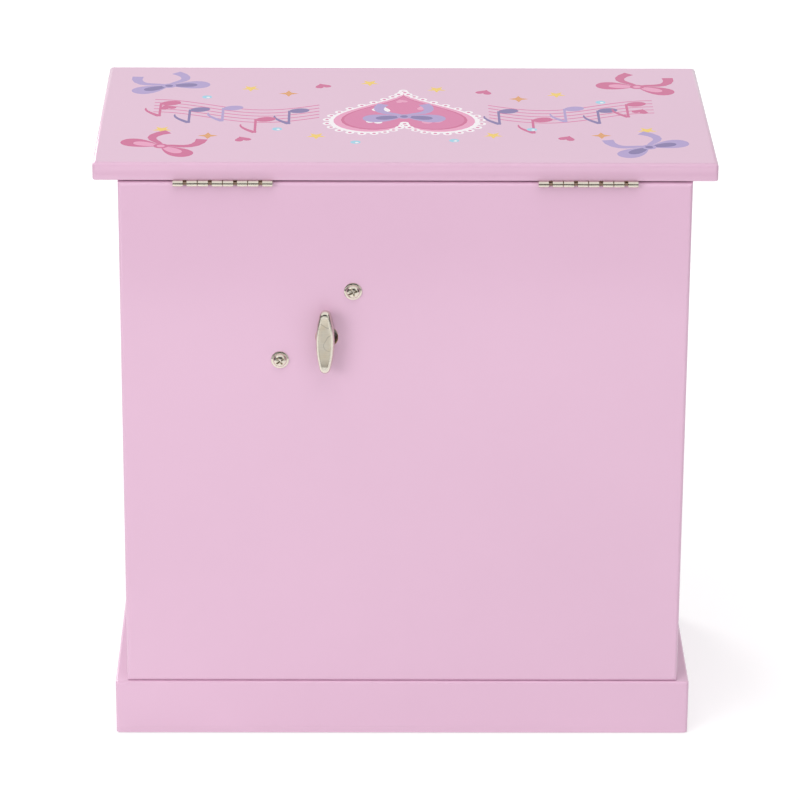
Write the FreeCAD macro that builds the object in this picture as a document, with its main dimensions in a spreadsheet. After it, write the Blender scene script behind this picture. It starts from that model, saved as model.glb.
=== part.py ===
import FreeCAD, Part
import math
import os
import re
import Sketcher
from FreeCAD import Placement, Rotation, Vector

"""Upright musical jewellery box: case with three drawers, a hinged lid with a mirror over a
tray, and a wind-up movement on the back panel that turns a small dancer in the tray.

Frame: +Z up, the drawers face -Y, the winding key is on the +Y side, origin on the floor in
the middle of the plinth. Millimetres.
"""

# Driving sizes. Lengths in millimetres; teeth and turns are plain counts.
SIZES = (
    ("lid_step", 10.0, "lid beyond the sides"),
    ("lid_front_step", 12.0, "lid beyond the front"),
    ("lid_thick", 7.3, "lid board"),
    ("body_width", 230.0, "case, side to side"),
    ("body_depth", 118.0, "case, front to back"),
    ("body_height", 219.9, "case above the plinth"),
    ("plinth_height", 23.4, "plinth rails"),
    ("plinth_step", 5.0, "plinth beyond the sides and the front"),
    ("plinth_back_step", 0.7, "plinth beyond the back"),
    ("plinth_rail", 12.0, "plinth rail thickness"),
    ("pad_thick", 0.6, "felt-faced card under the plinth"),
    ("pad_inset", 1.0, "pad edge in from the plinth"),
    ("panel", 6.0, "case boards"),
    ("shelf_thick", 4.0, "shelves between the drawers"),
    ("tray_board", 3.0, "tray floor board"),
    ("edge_round", 1.5, "rounding of the outer board edges"),
    ("front_round", 1.0, "rounding of drawer front edges"),
    ("over", 1.0, "cutting tools beyond the faces they cut"),
    ("bed_clear", 0.5, "movement plate to tray floor"),
    ("shelf_clear", 5.3, "movement plate to shelf below"),
    ("lining", 0.8, "felt linings"),
    ("felt_clear", 0.5, "holes in the felt, on the radius"),
    ("divider_thick", 3.0, "tray dividers"),
    ("divider_height", 24.0, "tray dividers"),
    ("divider_x", -8.5, "middle of the long divider"),
    ("stage_reach", 19.0, "spindle to the cross divider"),
    ("roll_count", 7, "ring rolls"),
    ("roll_height", 20.0, "ring rolls"),
    ("roll_round", 6.0, "ring roll rounding"),
    ("roll_gap", 0.4, "between ring rolls"),
    ("frame_thick", 3.0, "mirror frame"),
    ("frame_rim", 6.0, "mirror frame face width"),
    ("frame_margin", 11.0, "mirror frame to the tray walls"),
    ("mirror_thick", 2.2, "mirror glass"),
    ("bumper_radius", 3.0, "lid bumpers"),
    ("bumper_spread", 92.0, "lid bumpers from the middle"),
    ("leaf_thick", 0.8, "hinge leaf, also the lid gap"),
    ("leaf_play", 0.05, "between stacked hinge leaves"),
    ("knuckle_radius", 1.3, "hinge knuckles"),
    ("knuckle_length", 4.025, "one hinge knuckle"),
    ("stop_gap", 1.6, "wide gap between knuckles"),
    ("knuckle_gap", 0.4, "fine gap between knuckles"),
    ("hinge_drop", 0.1, "hinge axis below the rim"),
    ("hinge_spread", 73.0, "hinge middle from the box middle"),
    ("lid_screw_reach", 14.0, "hinge middle to the lid leaf's screws"),
    ("case_screw_reach", 7.0, "hinge middle to the case leaf's screws"),
    ("pin_radius", 0.65, "hinge pin"),
    ("pin_play", 0.05, "hinge pin to knuckle bore"),
    ("wood_head", 1.3, "hinge screw head radius"),
    ("wood_shank", 0.7, "hinge screw shank radius"),
    ("wood_length", 4.0, "hinge screw below its head"),
    ("wood_cone", 0.6, "hinge screw head height"),
    ("drawer_play", 0.5, "drawer to case, all round"),
    ("wall", 4.0, "drawer side and back walls"),
    ("wall_drop", 8.0, "drawer walls below the bay top"),
    ("drawer_base", 2.5, "drawer bottom board"),
    ("drawer_clear", 2.0, "closed drawer to what is behind it"),
    ("knob_radius", 6.0, "knob ball"),
    ("knob_reach", 13.5, "knob in front of the drawer"),
    ("knob_stem", 2.8, "knob stem radius"),
    ("knob_collar", 4.5, "knob collar radius"),
    ("collar_thick", 1.2, "knob collar"),
    ("knob_tenon", 5.0, "knob tenon let into the front"),
    ("knob_spread", 52.0, "knobs from the middle"),
    ("key_x", 31.5, "key axis from the middle"),
    ("key_drop", 65.9, "key axis below the rim"),
    ("key_hole", 4.5, "key hole radius in the back panel"),
    ("key_length", 26.6, "key grip, end to end"),
    ("key_width", 7.5, "key grip, across"),
    ("key_tip", 1.5, "key grip end radius"),
    ("key_reach", 8.5, "key face behind the back panel"),
    ("key_grip", 3.2, "key grip depth"),
    ("key_hub", 3.2, "key hub radius"),
    ("key_boss", 1.6, "key hub height"),
    ("key_clear", 0.5, "key hub to the back panel"),
    ("key_dish", 0.5, "hollow in the key face"),
    ("key_rim", 0.85, "rim beside the hollow"),
    ("key_end", 2.9, "rim at the ends of the hollow"),
    ("key_socket", 4.5, "arbor hole in the key"),
    ("arbor_radius", 2.0, "winding arbor"),
    ("running", 0.05, "shaft to bearing, on the radius"),
    ("screw_head", 3.65, "movement screw head radius"),
    ("screw_dome", 2.2, "movement screw head height"),
    ("screw_shank", 1.5, "movement screw shank radius"),
    ("screw_slot", 1.0, "cross recess width"),
    ("screw_in", 10.6, "upper movement screw from the key axis, across"),
    ("screw_up", 19.7, "upper movement screw above the key axis"),
    ("screw_out", 19.0, "lower movement screw from the key axis, across"),
    ("screw_down", 9.9, "lower movement screw below the key axis"),
    ("bed_thick", 3.0, "movement plate"),
    ("bed_top", 23.5, "plate above the key axis"),
    ("bed_height", 49.5, "plate height"),
    ("bed_left", 28.0, "plate from the key axis to the comb side"),
    ("bed_right", 24.0, "plate from the key axis to the governor side"),
    ("post_inset", 0.5, "comb and its post in from the plate edge"),
    ("post_width", 8.0, "comb post"),
    ("post_spare", 1.0, "comb post beyond the drum ends"),
    ("foot_half", 5.0, "spindle foot, half width"),
    ("foot_thick", 3.5, "spindle foot"),
    ("foot_gap", 0.5, "spindle end inside its foot"),
    ("housing_radius", 16.0, "spring housing"),
    ("housing_depth", 8.0, "spring housing"),
    ("housing_wall", 0.8, "spring housing"),
    ("arbor_clear", 0.4, "arbor to the spring housing"),
    ("ribbon", 0.4, "mainspring ribbon thickness"),
    ("ribbon_pitch", 2.0, "mainspring turn to turn"),
    ("ribbon_inner", 3.4, "mainspring inner radius"),
    ("ribbon_turns", 5, "mainspring turns"),
    ("wheel_gap", 0.5, "spring housing to crown wheel"),
    ("wheel_disc", 1.5, "crown wheel disc"),
    ("tooth_module", 0.8, "crown wheel and pinion"),
    ("wheel_teeth", 36, "crown wheel"),
    ("pinion_teeth", 20, "pinion"),
    ("crown_face", 2.4, "crown tooth along the radius"),
    ("crown_rim", 0.4, "crown disc beyond its teeth"),
    ("tooth_root", 0.2, "teeth sunk into what carries them"),
    ("pinion_face", 3.0, "pinion height"),
    ("tooth_width", 0.85, "tooth at the pitch line"),
    ("spindle_radius", 1.5, "upright spindle"),
    ("drum_radius", 5.5, "pinned drum"),
    ("drum_length", 20.0, "pinned drum"),
    ("pin_height", 0.7, "drum pins"),
    ("pin_size", 0.3, "drum pin radius"),
    ("pin_root", 0.5, "drum pin inside the drum"),
    ("pins_per_note", 3, "drum pins"),
    ("comb_gap", 0.15, "drum pins to comb tips"),
    ("comb_thick", 1.0, "tone comb"),
    ("comb_tooth", 12.0, "comb tooth length"),
    ("comb_slot", 0.35, "slot between comb teeth"),
    ("comb_notes", 18, "comb teeth"),
    ("comb_screw", 1.0, "comb screw radius"),
    ("comb_screw_length", 6.0, "comb screw below its head"),
    ("comb_head", 1.8, "comb screw head radius"),
    ("comb_head_thick", 1.2, "comb screw head"),
    ("worm_module", 0.6, "worm wheel"),
    ("worm_teeth", 24, "worm wheel"),
    ("worm_radius", 2.4, "worm pitch radius"),
    ("worm_face", 2.2, "worm wheel height"),
    ("worm_tooth", 0.7, "worm thread and wheel tooth at the pitch line"),
    ("worm_drop", 19.6, "worm axis below the key axis"),
    ("worm_shaft", 1.0, "worm shaft radius"),
    ("worm_turns", 6, "worm thread"),
    ("worm_half", 6.2, "worm core, half length"),
    ("worm_cone", 0.4, "worm core end cones"),
    ("fan_radius", 5.0, "governor fan"),
    ("fan_depth", 3.0, "governor fan along its shaft"),
    ("fan_front", 12.0, "fan front before the spindle"),
    ("fan_hub", 0.8, "fan hub wall"),
    ("fan_vane", 0.5, "fan vane thickness"),
    ("fan_clear", 0.6, "fan to its bracket"),
    ("partition_clear", 1.5, "fan to the partition"),
    ("bracket_thick", 1.5, "governor bracket"),
    ("bracket_half", 3.0, "governor bracket, half height"),
    ("bracket_lip", 2.5, "bracket beyond the worm axis, inward"),
    ("bracket_reach", 8.0, "bracket beyond the worm axis, outward"),
    ("stop_radius", 0.8, "stop wire"),
    ("stop_clear", 0.3, "stop wire to fan"),
    ("stop_offset", 12.0, "stop wire from the worm axis"),
    ("stop_back", 0.2, "stop wire to the movement plate"),
    ("stop_top", 0.15, "stop wire to the closed lid"),
    ("flange_radius", 3.2, "spindle flange under the dancer"),
    ("flange_thick", 1.0, "spindle flange"),
    ("flange_clear", 0.5, "spindle flange to the felt"),
    ("spring_peg", 1.6, "spindle peg inside the dancer spring"),
    ("coil_radius", 2.0, "dancer spring, middle of the wire"),
    ("coil_wire", 0.3, "dancer spring wire radius"),
    ("coil_pitch", 1.2, "dancer spring turn to turn"),
    ("coil_turns", 4, "dancer spring"),
    ("figure_clear", 2.5, "dancer to the mirror frame above"),
    ("skirt_radius", 10.0, "dancer skirt"),
    ("skirt_folds", 14, "dancer skirt folds"),
)

KNUCKLES = 8
GOLDEN_ANGLE = 137.508

# Places worked out from the sizes.
PLACES = {
    "lid_width": "body_width + 2 * lid_step",
    "lid_depth": "body_depth + lid_front_step",
    "plinth_width": "body_width + 2 * plinth_step",
    "plinth_depth": "body_depth + plinth_step + plinth_back_step",
    "plinth_top": "pad_thick + plinth_height",
    "rim": "plinth_top + body_height",
    "lid_under": "rim + leaf_thick",
    "back_face": "plinth_depth / 2 - plinth_back_step",
    "front_face": "back_face - body_depth",
    "back_inner": "back_face - panel",
    "front_inner": "front_face + panel",
    "side_inner": "body_width / 2 - panel",
    "key_z": "rim - key_drop",
    "tray_under": "key_z + bed_top + bed_clear",
    "tray_top": "tray_under + tray_board",
    "case_floor": "plinth_top + shelf_thick",
    "upper_bay": "bed_clear + bed_height + shelf_clear",
    "lower_bay": "(tray_under - upper_bay - case_floor - 2 * shelf_thick) / 2",
    "hinge_y": "back_face + knuckle_radius",
    "hinge_z": "rim - hinge_drop",
    "hinge_length": f"{KNUCKLES} * knuckle_length + {KNUCKLES // 2} * stop_gap"
                    f" + {KNUCKLES // 2 - 1} * knuckle_gap",
    "hinge_start": "hinge_spread - hinge_length / 2",
    "leaf_front": "back_inner",
    "bed_front": "back_inner - bed_thick",
    "bed_low": "key_z + bed_top - bed_height",
    "housing_front": "bed_front - housing_depth",
    "wheel_back": "housing_front - wheel_gap",
    "wheel_front": "wheel_back - wheel_disc",
    "dedendum": "1.3 * tooth_module",
    "addendum": "0.9 * tooth_module",
    "crown_slope": "tan(20)",
    "spur_root_slope": "tan(16)",
    "spur_tip_slope": "tan(22)",
    "mesh_plane": "wheel_front - dedendum",
    "pinion_radius": "pinion_teeth * tooth_module / 2",
    "crown_radius": "wheel_teeth * tooth_module / 2",
    "spindle_y": "mesh_plane - pinion_radius",
    "worm_z": "key_z - worm_drop",
    "worm_wheel_radius": "worm_teeth * worm_module / 2",
    "worm_x": "key_x + worm_wheel_radius + worm_radius",
    "worm_pitch": f"{math.pi} * worm_module",
    "worm_addendum": "0.8 * worm_module",
    "worm_dedendum": "1.2 * worm_module",
    "worm_tip_slope": "tan(18)",
    "worm_root_slope": "tan(12)",
    "fan_y": "spindle_y - fan_front",
    "bracket_y": "fan_y + fan_depth + fan_clear",
    "partition_back": "fan_y - partition_clear",
    "partition_front": "partition_back - tray_board",
    "stop_x": "worm_x + stop_offset",
    "stop_y": "bed_front - stop_radius - stop_back",
    "stop_low": "worm_z + fan_radius + stop_clear + stop_radius",
    "flange_z": "tray_top + lining + flange_clear",
    "coil_z": "flange_z + flange_thick",
    "figure_z": "coil_z + coil_turns * coil_pitch + 2 * coil_wire",
    "figure_height": "lid_under - frame_thick - figure_clear - figure_z",
    "cross_y": "spindle_y - stage_reach",
}
ALIASES = {alias for alias, number, note in SIZES}

doc = FreeCAD.newDocument("JewelleryBox")
sheet = doc.addObject("Spreadsheet::Sheet", "Sizes")
for row, (alias, number, note) in enumerate(SIZES, 1):
    sheet.set(f"A{row}", note)
    sheet.set(f"B{row}", str(number))
    sheet.setAlias(f"B{row}", alias)
doc.recompute()
nodes = {}


def expr(text):
    """An expression in which every size is read from the sheet and every place worked out."""
    def swap(match):
        word = match.group(0)
        if word in PLACES:
            return f"({expr(PLACES[word])})"
        return f"Sizes.{word}" if word in ALIASES else word
    return re.sub(r"[a-z_]+", swap, text)


def value(text):
    """The number that an expression comes to now."""
    return float(sheet.evalExpression(expr(text)))


def node(label, thing):
    """Name an object as one of the exported pieces."""
    thing.Label = label
    nodes[label] = thing
    return thing


def place(thing, x="0", y="0", z="0", turn=None):
    """Put an object at a point given as expressions, turned by a rotation."""
    if turn:
        thing.Placement = Placement(Vector(), turn)
    for axis, text in (("x", x), ("y", y), ("z", z)):
        thing.setExpression(f"Placement.Base.{axis}", expr(text))
    return thing


ABOUT_X = Vector(1, 0, 0)
TO_BACK = Rotation(ABOUT_X, -90)
TO_FRONT = Rotation(ABOUT_X, 90)
TO_RIGHT = Rotation(Vector(0, 1, 0), 90)
DOWN = Rotation(ABOUT_X, 180)


def board(name, x, y, z):
    """A rectangular board between two planes along each axis."""
    box = doc.addObject("Part::Box", name)
    for size, (low, high) in zip(("Length", "Width", "Height"), (x, y, z)):
        box.setExpression(size, expr(f"({high}) - ({low})"))
    return place(box, x[0], y[0], z[0])


def rod(name, radius, length, x="0", y="0", z="0", turn=None):
    """A round bar from a point, along +Z or turned."""
    bar = doc.addObject("Part::Cylinder", name)
    bar.setExpression("Radius", expr(radius))
    bar.setExpression("Height", expr(length))
    return place(bar, x, y, z, turn)


def ball(name, radius, x, y, z):
    """A ball round a point."""
    sphere = doc.addObject("Part::Sphere", name)
    sphere.setExpression("Radius", expr(radius))
    return place(sphere, x, y, z)


def joined(name, pieces):
    """One solid from several that touch."""
    fuse = doc.addObject("Part::MultiFuse", name)
    fuse.Shapes = pieces
    return fuse


def group(name, pieces):
    """Separate solids kept together as one piece."""
    compound = doc.addObject("Part::Compound", name)
    compound.Links = pieces
    return compound


def cut(name, base, tools):
    """The base with the tools taken away, checked to have lost some volume."""
    difference = doc.addObject("Part::Cut", name)
    difference.Base = base
    difference.Tool = tools[0] if len(tools) == 1 else group(f"{name}_tools", tools)
    doc.recompute()
    if difference.Shape.Volume >= base.Shape.Volume - 1e-6:
        raise RuntimeError(f"{name}: the cut took nothing away")
    return difference


def rounded(name, base, radius, **planes):
    """Round the board edges that lie in all the named planes, the same on both sides in x."""
    doc.recompute()
    at = {axis: value(text) for axis, text in planes.items()}

    def chosen(edge):
        points = [vertex.Point for vertex in edge.Vertexes]
        return all(abs((abs(p.x) if axis == "x" else getattr(p, axis)) - spot) < 1e-6
                   for axis, spot in at.items() for p in points)
    fillet = doc.addObject("Part::Fillet", name)
    fillet.Base = base
    size = value(radius)
    fillet.Edges = [(i, size, size) for i, edge in enumerate(base.Shape.Edges, 1) if chosen(edge)]
    return fillet


def plane(body, role):
    """One of a body's own origin planes or axes."""
    return next(part for part in body.Origin.OriginFeatures if part.Role == role)


def sketch_on(body, role, name, offset=None):
    """An empty sketch on one of a body's origin planes, moved along its normal."""
    sketch = body.newObject("Sketcher::SketchObject", name)
    sketch.AttachmentSupport = [(plane(body, role), "")]
    sketch.MapMode = "FlatFace"
    if offset:
        sketch.setExpression("AttachmentOffset.Base.z", expr(offset))
    return sketch


def outline(sketch, points):
    """A closed line through points given as expressions, each point tied to the sheet."""
    spots = [Vector(value(x), value(y), 0) for x, y in points]
    for i, spot in enumerate(spots):
        sketch.addGeometry(Part.LineSegment(spot, spots[(i + 1) % len(spots)]))
    for i in range(len(points)):
        sketch.addConstraint(Sketcher.Constraint("Coincident", i, 2, (i + 1) % len(points), 1))
    for i, point in enumerate(points):
        for kind, text in zip(("DistanceX", "DistanceY"), point):
            index = sketch.addConstraint(Sketcher.Constraint(kind, -1, 1, i, 1, value(text)))
            sketch.setExpression(f"Constraints[{index}]", expr(text))


def circle(sketch, radius):
    """A circle about the sketch origin with its radius tied to the sheet."""
    index = sketch.addGeometry(Part.Circle(Vector(), Vector(0, 0, 1), value(radius)))
    sketch.addConstraint(Sketcher.Constraint("Coincident", index, 3, -1, 1))
    size = sketch.addConstraint(Sketcher.Constraint("Radius", index, value(radius)))
    sketch.setExpression(f"Constraints[{size}]", expr(radius))


def lens(sketch, length, width, tip):
    """A boat outline along y: two long arcs tangent to two small end arcs."""
    tip = value(tip)
    reach = value(length) / 2 - tip
    swell = value(width) / 2 - tip
    centre = (reach ** 2 - swell ** 2) / (2 * swell)
    side = centre + swell + tip
    meet_y = reach * side / (side - tip)
    meet_x = centre * side / (side - tip) - centre
    for sign in (1, -1):
        sketch.addGeometry(Part.Arc(Vector(sign * meet_x, -sign * meet_y, 0),
                                    Vector(sign * (swell + tip), 0, 0),
                                    Vector(sign * meet_x, sign * meet_y, 0)))
        sketch.addGeometry(Part.Arc(Vector(sign * meet_x, sign * meet_y, 0),
                                    Vector(0, sign * (reach + tip), 0),
                                    Vector(-sign * meet_x, sign * meet_y, 0)))


def pad(body, sketch, name, length, backward=False):
    """Raise a sketch by a length."""
    feature = body.newObject("PartDesign::Pad", name)
    feature.Profile = sketch
    feature.setExpression("Length", expr(length))
    feature.Reversed = backward
    doc.recompute()
    return feature


def pocket(body, sketch, name, depth, backward=False):
    """Sink a sketch by a depth, checked to have cut."""
    before = body.Shape.Volume
    feature = body.newObject("PartDesign::Pocket", name)
    feature.Profile = sketch
    feature.setExpression("Length", expr(depth))
    feature.Reversed = backward
    doc.recompute()
    if body.Shape.Volume >= before - 1e-6:
        raise RuntimeError(f"{name}: the pocket cut nothing")
    return feature


def round_pattern(body, feature, name, count):
    """Repeat a feature round the body's upright axis."""
    pattern = body.newObject("PartDesign::PolarPattern", name)
    pattern.Originals = [feature]
    pattern.Axis = (plane(body, "Z_Axis"), [""])
    pattern.Angle = 360
    pattern.setExpression("Occurrences", expr(count))
    body.Tip = pattern
    doc.recompute()
    return pattern


def turned(name, points):
    """A body turned about its Z axis from (radius, height) points."""
    body = doc.addObject("PartDesign::Body", name)
    sketch = sketch_on(body, "XZ_Plane", f"{name}_profile")
    outline(sketch, points)
    feature = body.newObject("PartDesign::Revolution", f"{name}_turn")
    feature.Profile = sketch
    feature.ReferenceAxis = (sketch, ["V_Axis"])
    feature.Angle = 360
    doc.recompute()
    return body


def both_sides(name, thing):
    """A piece and its mirror image across the middle plane, as one group."""
    mirror = doc.addObject("Part::Mirroring", f"{name}_mirror")
    mirror.Source = thing
    mirror.Normal = Vector(1, 0, 0)
    return group(name, [thing, mirror])


def centred(half):
    """The two planes at plus and minus a half width."""
    return (f"-({half})", half)


def build_plinth():
    """Mitred rails on a felt-faced pad."""
    node("base_pad", board("pad", centred("plinth_width / 2 - pad_inset"),
                           centred("plinth_depth / 2 - pad_inset"), ("0", "pad_thick")))
    outer = board("plinth_block", centred("plinth_width / 2"), centred("plinth_depth / 2"),
                  ("pad_thick", "plinth_top"))
    corners = rounded("plinth_corners", outer, "edge_round", x="plinth_width / 2")
    upright = [(i, r, s) for i, r, s in corners.Edges
               if abs(outer.Shape.Edges[i - 1].Length - value("plinth_height")) < 1e-6]
    corners.Edges = upright
    top = doc.addObject("Part::Fillet", "plinth_top_edge")
    top.Base = corners
    doc.recompute()
    size = value("front_round")
    top.Edges = [(i, size, size) for i, edge in enumerate(corners.Shape.Edges, 1)
                 if all(abs(v.Z - value("plinth_top")) < 1e-6 for v in edge.Vertexes)]
    inner = board("plinth_well", centred("plinth_width / 2 - plinth_rail"),
                  centred("plinth_depth / 2 - plinth_rail"), ("0", "plinth_top + over"))
    ring = cut("plinth_ring", top, [inner])
    wide, deep, thick = "plinth_width / 2", "plinth_depth / 2", "(plinth_rail + over)"
    rails = []
    for name, sign, along_x in (("front", "-", True), ("back", "", True),
                                ("left", "-", False), ("right", "", False)):
        if along_x:
            points = [("-(W + over)", "S(D + over)"), ("W + over", "S(D + over)"),
                      ("W - T", "S(D - T)"), ("-(W - T)", "S(D - T)")]
        else:
            points = [("S(W + over)", "-(D + over)"), ("S(W + over)", "D + over"),
                      ("S(W - T)", "D - T"), ("S(W - T)", "-(D - T)")]
        swap = {"W": wide, "D": deep, "T": thick, "S": sign}
        points = [tuple("".join(swap.get(letter, letter) for letter in text) for text in point)
                  for point in points]
        body = doc.addObject("PartDesign::Body", f"mitre_{name}")
        sketch = sketch_on(body, "XY_Plane", f"mitre_{name}_sketch")
        outline(sketch, points)
        pad(body, sketch, f"mitre_{name}_pad", "plinth_top + over")
        rail = doc.addObject("Part::Common", f"rail_{name}")
        rail.Base = ring
        rail.Tool = body
        rails.append(rail)
    node("plinth_rails", group("rails", rails))


def wood_screw(name, x, y, z, points_up):
    """A small countersunk screw with its head face at a point."""
    cone = doc.addObject("Part::Cone", f"{name}_head")
    cone.setExpression("Radius1", expr("wood_head"))
    cone.setExpression("Radius2", expr("wood_shank"))
    cone.setExpression("Height", expr("wood_cone"))
    turn = None if points_up else DOWN
    place(cone, x, y, z, turn)
    shank = rod(f"{name}_shank", "wood_shank", "wood_length", x, y, z, turn)
    return joined(name, [cone, shank])


def hinge_screws(name, reach, z, points_up):
    """Two screws in each of the two hinges."""
    screws = [wood_screw(f"{name}_{i}", f"hinge_spread {sign} {reach}", "back_face - panel / 2", z,
                         points_up) for i, sign in enumerate("-+")]
    return node(name, both_sides(f"{name}_pairs", group(f"{name}_pair", screws)))


def hinge_leaves(name, first, low, high, tab_low, screws):
    """Leaf plates with every second knuckle, bored for the pin, in both hinges."""
    end = "hinge_start + hinge_length"
    pieces = [board(f"{name}_plate", ("hinge_start", end), ("leaf_front", "back_face"), (low, high))]
    for k in range(first, KNUCKLES, 2):
        start = (f"hinge_start + {k} * knuckle_length + {(k + 1) // 2} * stop_gap"
                 f" + {k // 2} * knuckle_gap")
        pieces.append(rod(f"{name}_knuckle_{k}", "knuckle_radius", "knuckle_length",
                          start, "hinge_y", "hinge_z", TO_RIGHT))
        pieces.append(board(f"{name}_tab_{k}", (start, f"{start} + knuckle_length"),
                            ("back_face", "hinge_y"), (tab_low, high)))
    bore = rod(f"{name}_bore", "pin_radius + pin_play", "hinge_length + 2 * over",
               "hinge_start - over", "hinge_y", "hinge_z", TO_RIGHT)
    leaf = cut(f"{name}_bored", joined(f"{name}_solid", pieces), [bore])
    pair = both_sides(f"{name}_pair", leaf)
    return node(name, cut(f"{name}_drilled", pair, [screws]))


def build_hinges():
    """Two butt hinges: leaves, pins and screws."""
    lid_screws = hinge_screws("hinge_lid_screws", "lid_screw_reach", "rim", True)
    case_screws = hinge_screws("hinge_case_screws", "case_screw_reach", "rim - leaf_play", False)
    hinge_leaves("hinge_lid_leaves", 0, "rim", "lid_under", "rim", lid_screws)
    hinge_leaves("hinge_case_leaves", 1, "rim - leaf_thick", "rim - leaf_play",
                 "rim - leaf_thick", case_screws)
    pin = rod("pin", "pin_radius", "hinge_length", "hinge_start", "hinge_y", "hinge_z", TO_RIGHT)
    node("hinge_pins", both_sides("pin_pair", pin))
    return lid_screws, case_screws


def movement_spots():
    """Where the two movement screws go, as (x, z) expressions."""
    return (("key_x - screw_in", "key_z + screw_up"), ("key_x + screw_out", "key_z - screw_down"))


def build_case(case_screws):
    """Boards of the case, shelves, tray floor and partition."""
    depth = ("front_face", "back_inner")
    height = ("plinth_top", "rim")
    for name, sign in (("left", "-"), ("right", "")):
        planes = sorted((f"{sign}(side_inner)", f"{sign}(body_width / 2)"), key=value)
        side = board(f"{name}_board", planes, depth, height)
        node(f"{name}_side_panel", rounded(f"{name}_edges", side, "front_round",
                                           x="body_width / 2", y="front_face"))
    back = board("back_board", centred("body_width / 2"), ("back_inner", "back_face"), height)
    back = rounded("back_edges", back, "edge_round", x="body_width / 2", y="back_face")
    mortise = board("mortise", ("hinge_start", "hinge_start + hinge_length"),
                    ("leaf_front", "back_face + over"), ("rim - leaf_thick", "rim + over"))
    holes = [rod("key_hole_tool", "key_hole", "panel + 2 * over", "key_x", "back_inner - over",
                 "key_z", TO_BACK)]
    for i, (x, z) in enumerate(movement_spots()):
        holes.append(rod(f"screw_hole_{i}", "screw_shank + running", "panel + 2 * over", x,
                         "back_inner - over", z, TO_BACK))
    mortised = cut("back_mortised", back, [both_sides("mortises", mortise)])
    drilled = cut("back_drilled", mortised, holes)
    node("back_panel", cut("back_screwed", drilled, [case_screws]))
    wide = centred("side_inner")
    node("fascia_panel", board("fascia", wide, ("front_face", "front_inner"),
                               ("tray_under", "rim")))
    node("carcass_bottom", board("bottom_board", wide, depth, ("plinth_top", "case_floor")))
    low = "case_floor + lower_bay"
    node("lower_shelf", board("shelf_low", wide, depth, (low, f"{low} + shelf_thick")))
    high = "tray_under - upper_bay"
    node("upper_shelf", board("shelf_high", wide, depth, (f"{high} - shelf_thick", high)))
    node("movement_partition", board("partition", wide, ("partition_front", "partition_back"),
                                     (high, "tray_under")))
    floor = board("tray_board_box", wide, ("front_inner", "back_inner"), ("tray_under", "tray_top"))
    spindle_hole = rod("floor_spindle_hole", "spindle_radius + running", "tray_board + 2 * over",
                       "key_x", "spindle_y", "tray_under - over")
    wire_hole = rod("floor_wire_hole", "stop_radius + running", "tray_board + 2 * over",
                    "stop_x", "stop_y", "tray_under - over")
    node("tray_floor", cut("tray_floor_drilled", floor, [spindle_hole, wire_hole]))


def build_tray():
    """Dividers, felt, ring rolls and lid bumpers."""
    half = "divider_thick / 2"
    top = "tray_top + divider_height"
    right_of = f"divider_x + {half}"
    long_one = board("long_divider", (f"divider_x - {half}", right_of),
                     ("front_inner", "back_inner"), ("tray_top", top))
    cross = board("cross_divider", (right_of, "side_inner"),
                  (f"cross_y - {half}", f"cross_y + {half}"), ("tray_top", top))
    node("tray_dividers", group("dividers", [long_one, cross]))
    felt = ("tray_top", "tray_top + lining")
    well = board("well_felt", (right_of, "side_inner"), ("front_inner", f"cross_y - {half}"), felt)
    stage = board("stage_felt", (right_of, "side_inner"), (f"cross_y + {half}", "back_inner"), felt)
    spindle_hole = rod("felt_spindle_hole", "spindle_radius + felt_clear", "lining + 2 * over",
                       "key_x", "spindle_y", "tray_top - over")
    wire_hole = rod("felt_wire_hole", "stop_radius + felt_clear", "lining + 2 * over",
                    "stop_x", "stop_y", "tray_top - over")
    stage = cut("stage_felt_drilled", stage, [spindle_hole, wire_hole])
    node("tray_lining", group("linings", [well, stage]))
    step = "(back_inner - front_inner) / roll_count"
    rolls = []
    for i in range(int(value("roll_count"))):
        low = f"front_inner + {i} * {step} + roll_gap / 2"
        block = board(f"roll_{i}_block", ("-side_inner + roll_gap", f"divider_x - {half} - roll_gap"),
                      (low, f"{low} + {step} - roll_gap"), ("tray_top", "tray_top + roll_height"))
        rolls.append(rounded(f"roll_{i}", block, "roll_round", z="tray_top + roll_height"))
    node("ring_rolls", group("rolls", rolls))
    bumper = rod("bumper", "bumper_radius", "leaf_thick - leaf_play", "bumper_spread",
                 "front_face + panel / 2", "rim")
    node("lid_bumpers", both_sides("bumpers", bumper))


def knob(name, x, z):
    """A turned knob with a tenon let into the drawer front; returns it and its tenon."""
    tenon = rod(f"{name}_tenon", "knob_stem + running", "knob_tenon + over", x,
                "front_face - over", z, TO_BACK)
    stem = rod(f"{name}_stem", "knob_stem", "knob_reach - knob_radius + knob_tenon", x,
               "front_face + knob_tenon", z, TO_FRONT)
    collar = rod(f"{name}_collar", "knob_collar", "collar_thick", x, "front_face", z, TO_FRONT)
    head = ball(f"{name}_ball", "knob_radius", x, "front_face - knob_reach + knob_radius", z)
    return joined(name, [stem, collar, head]), tenon


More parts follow.
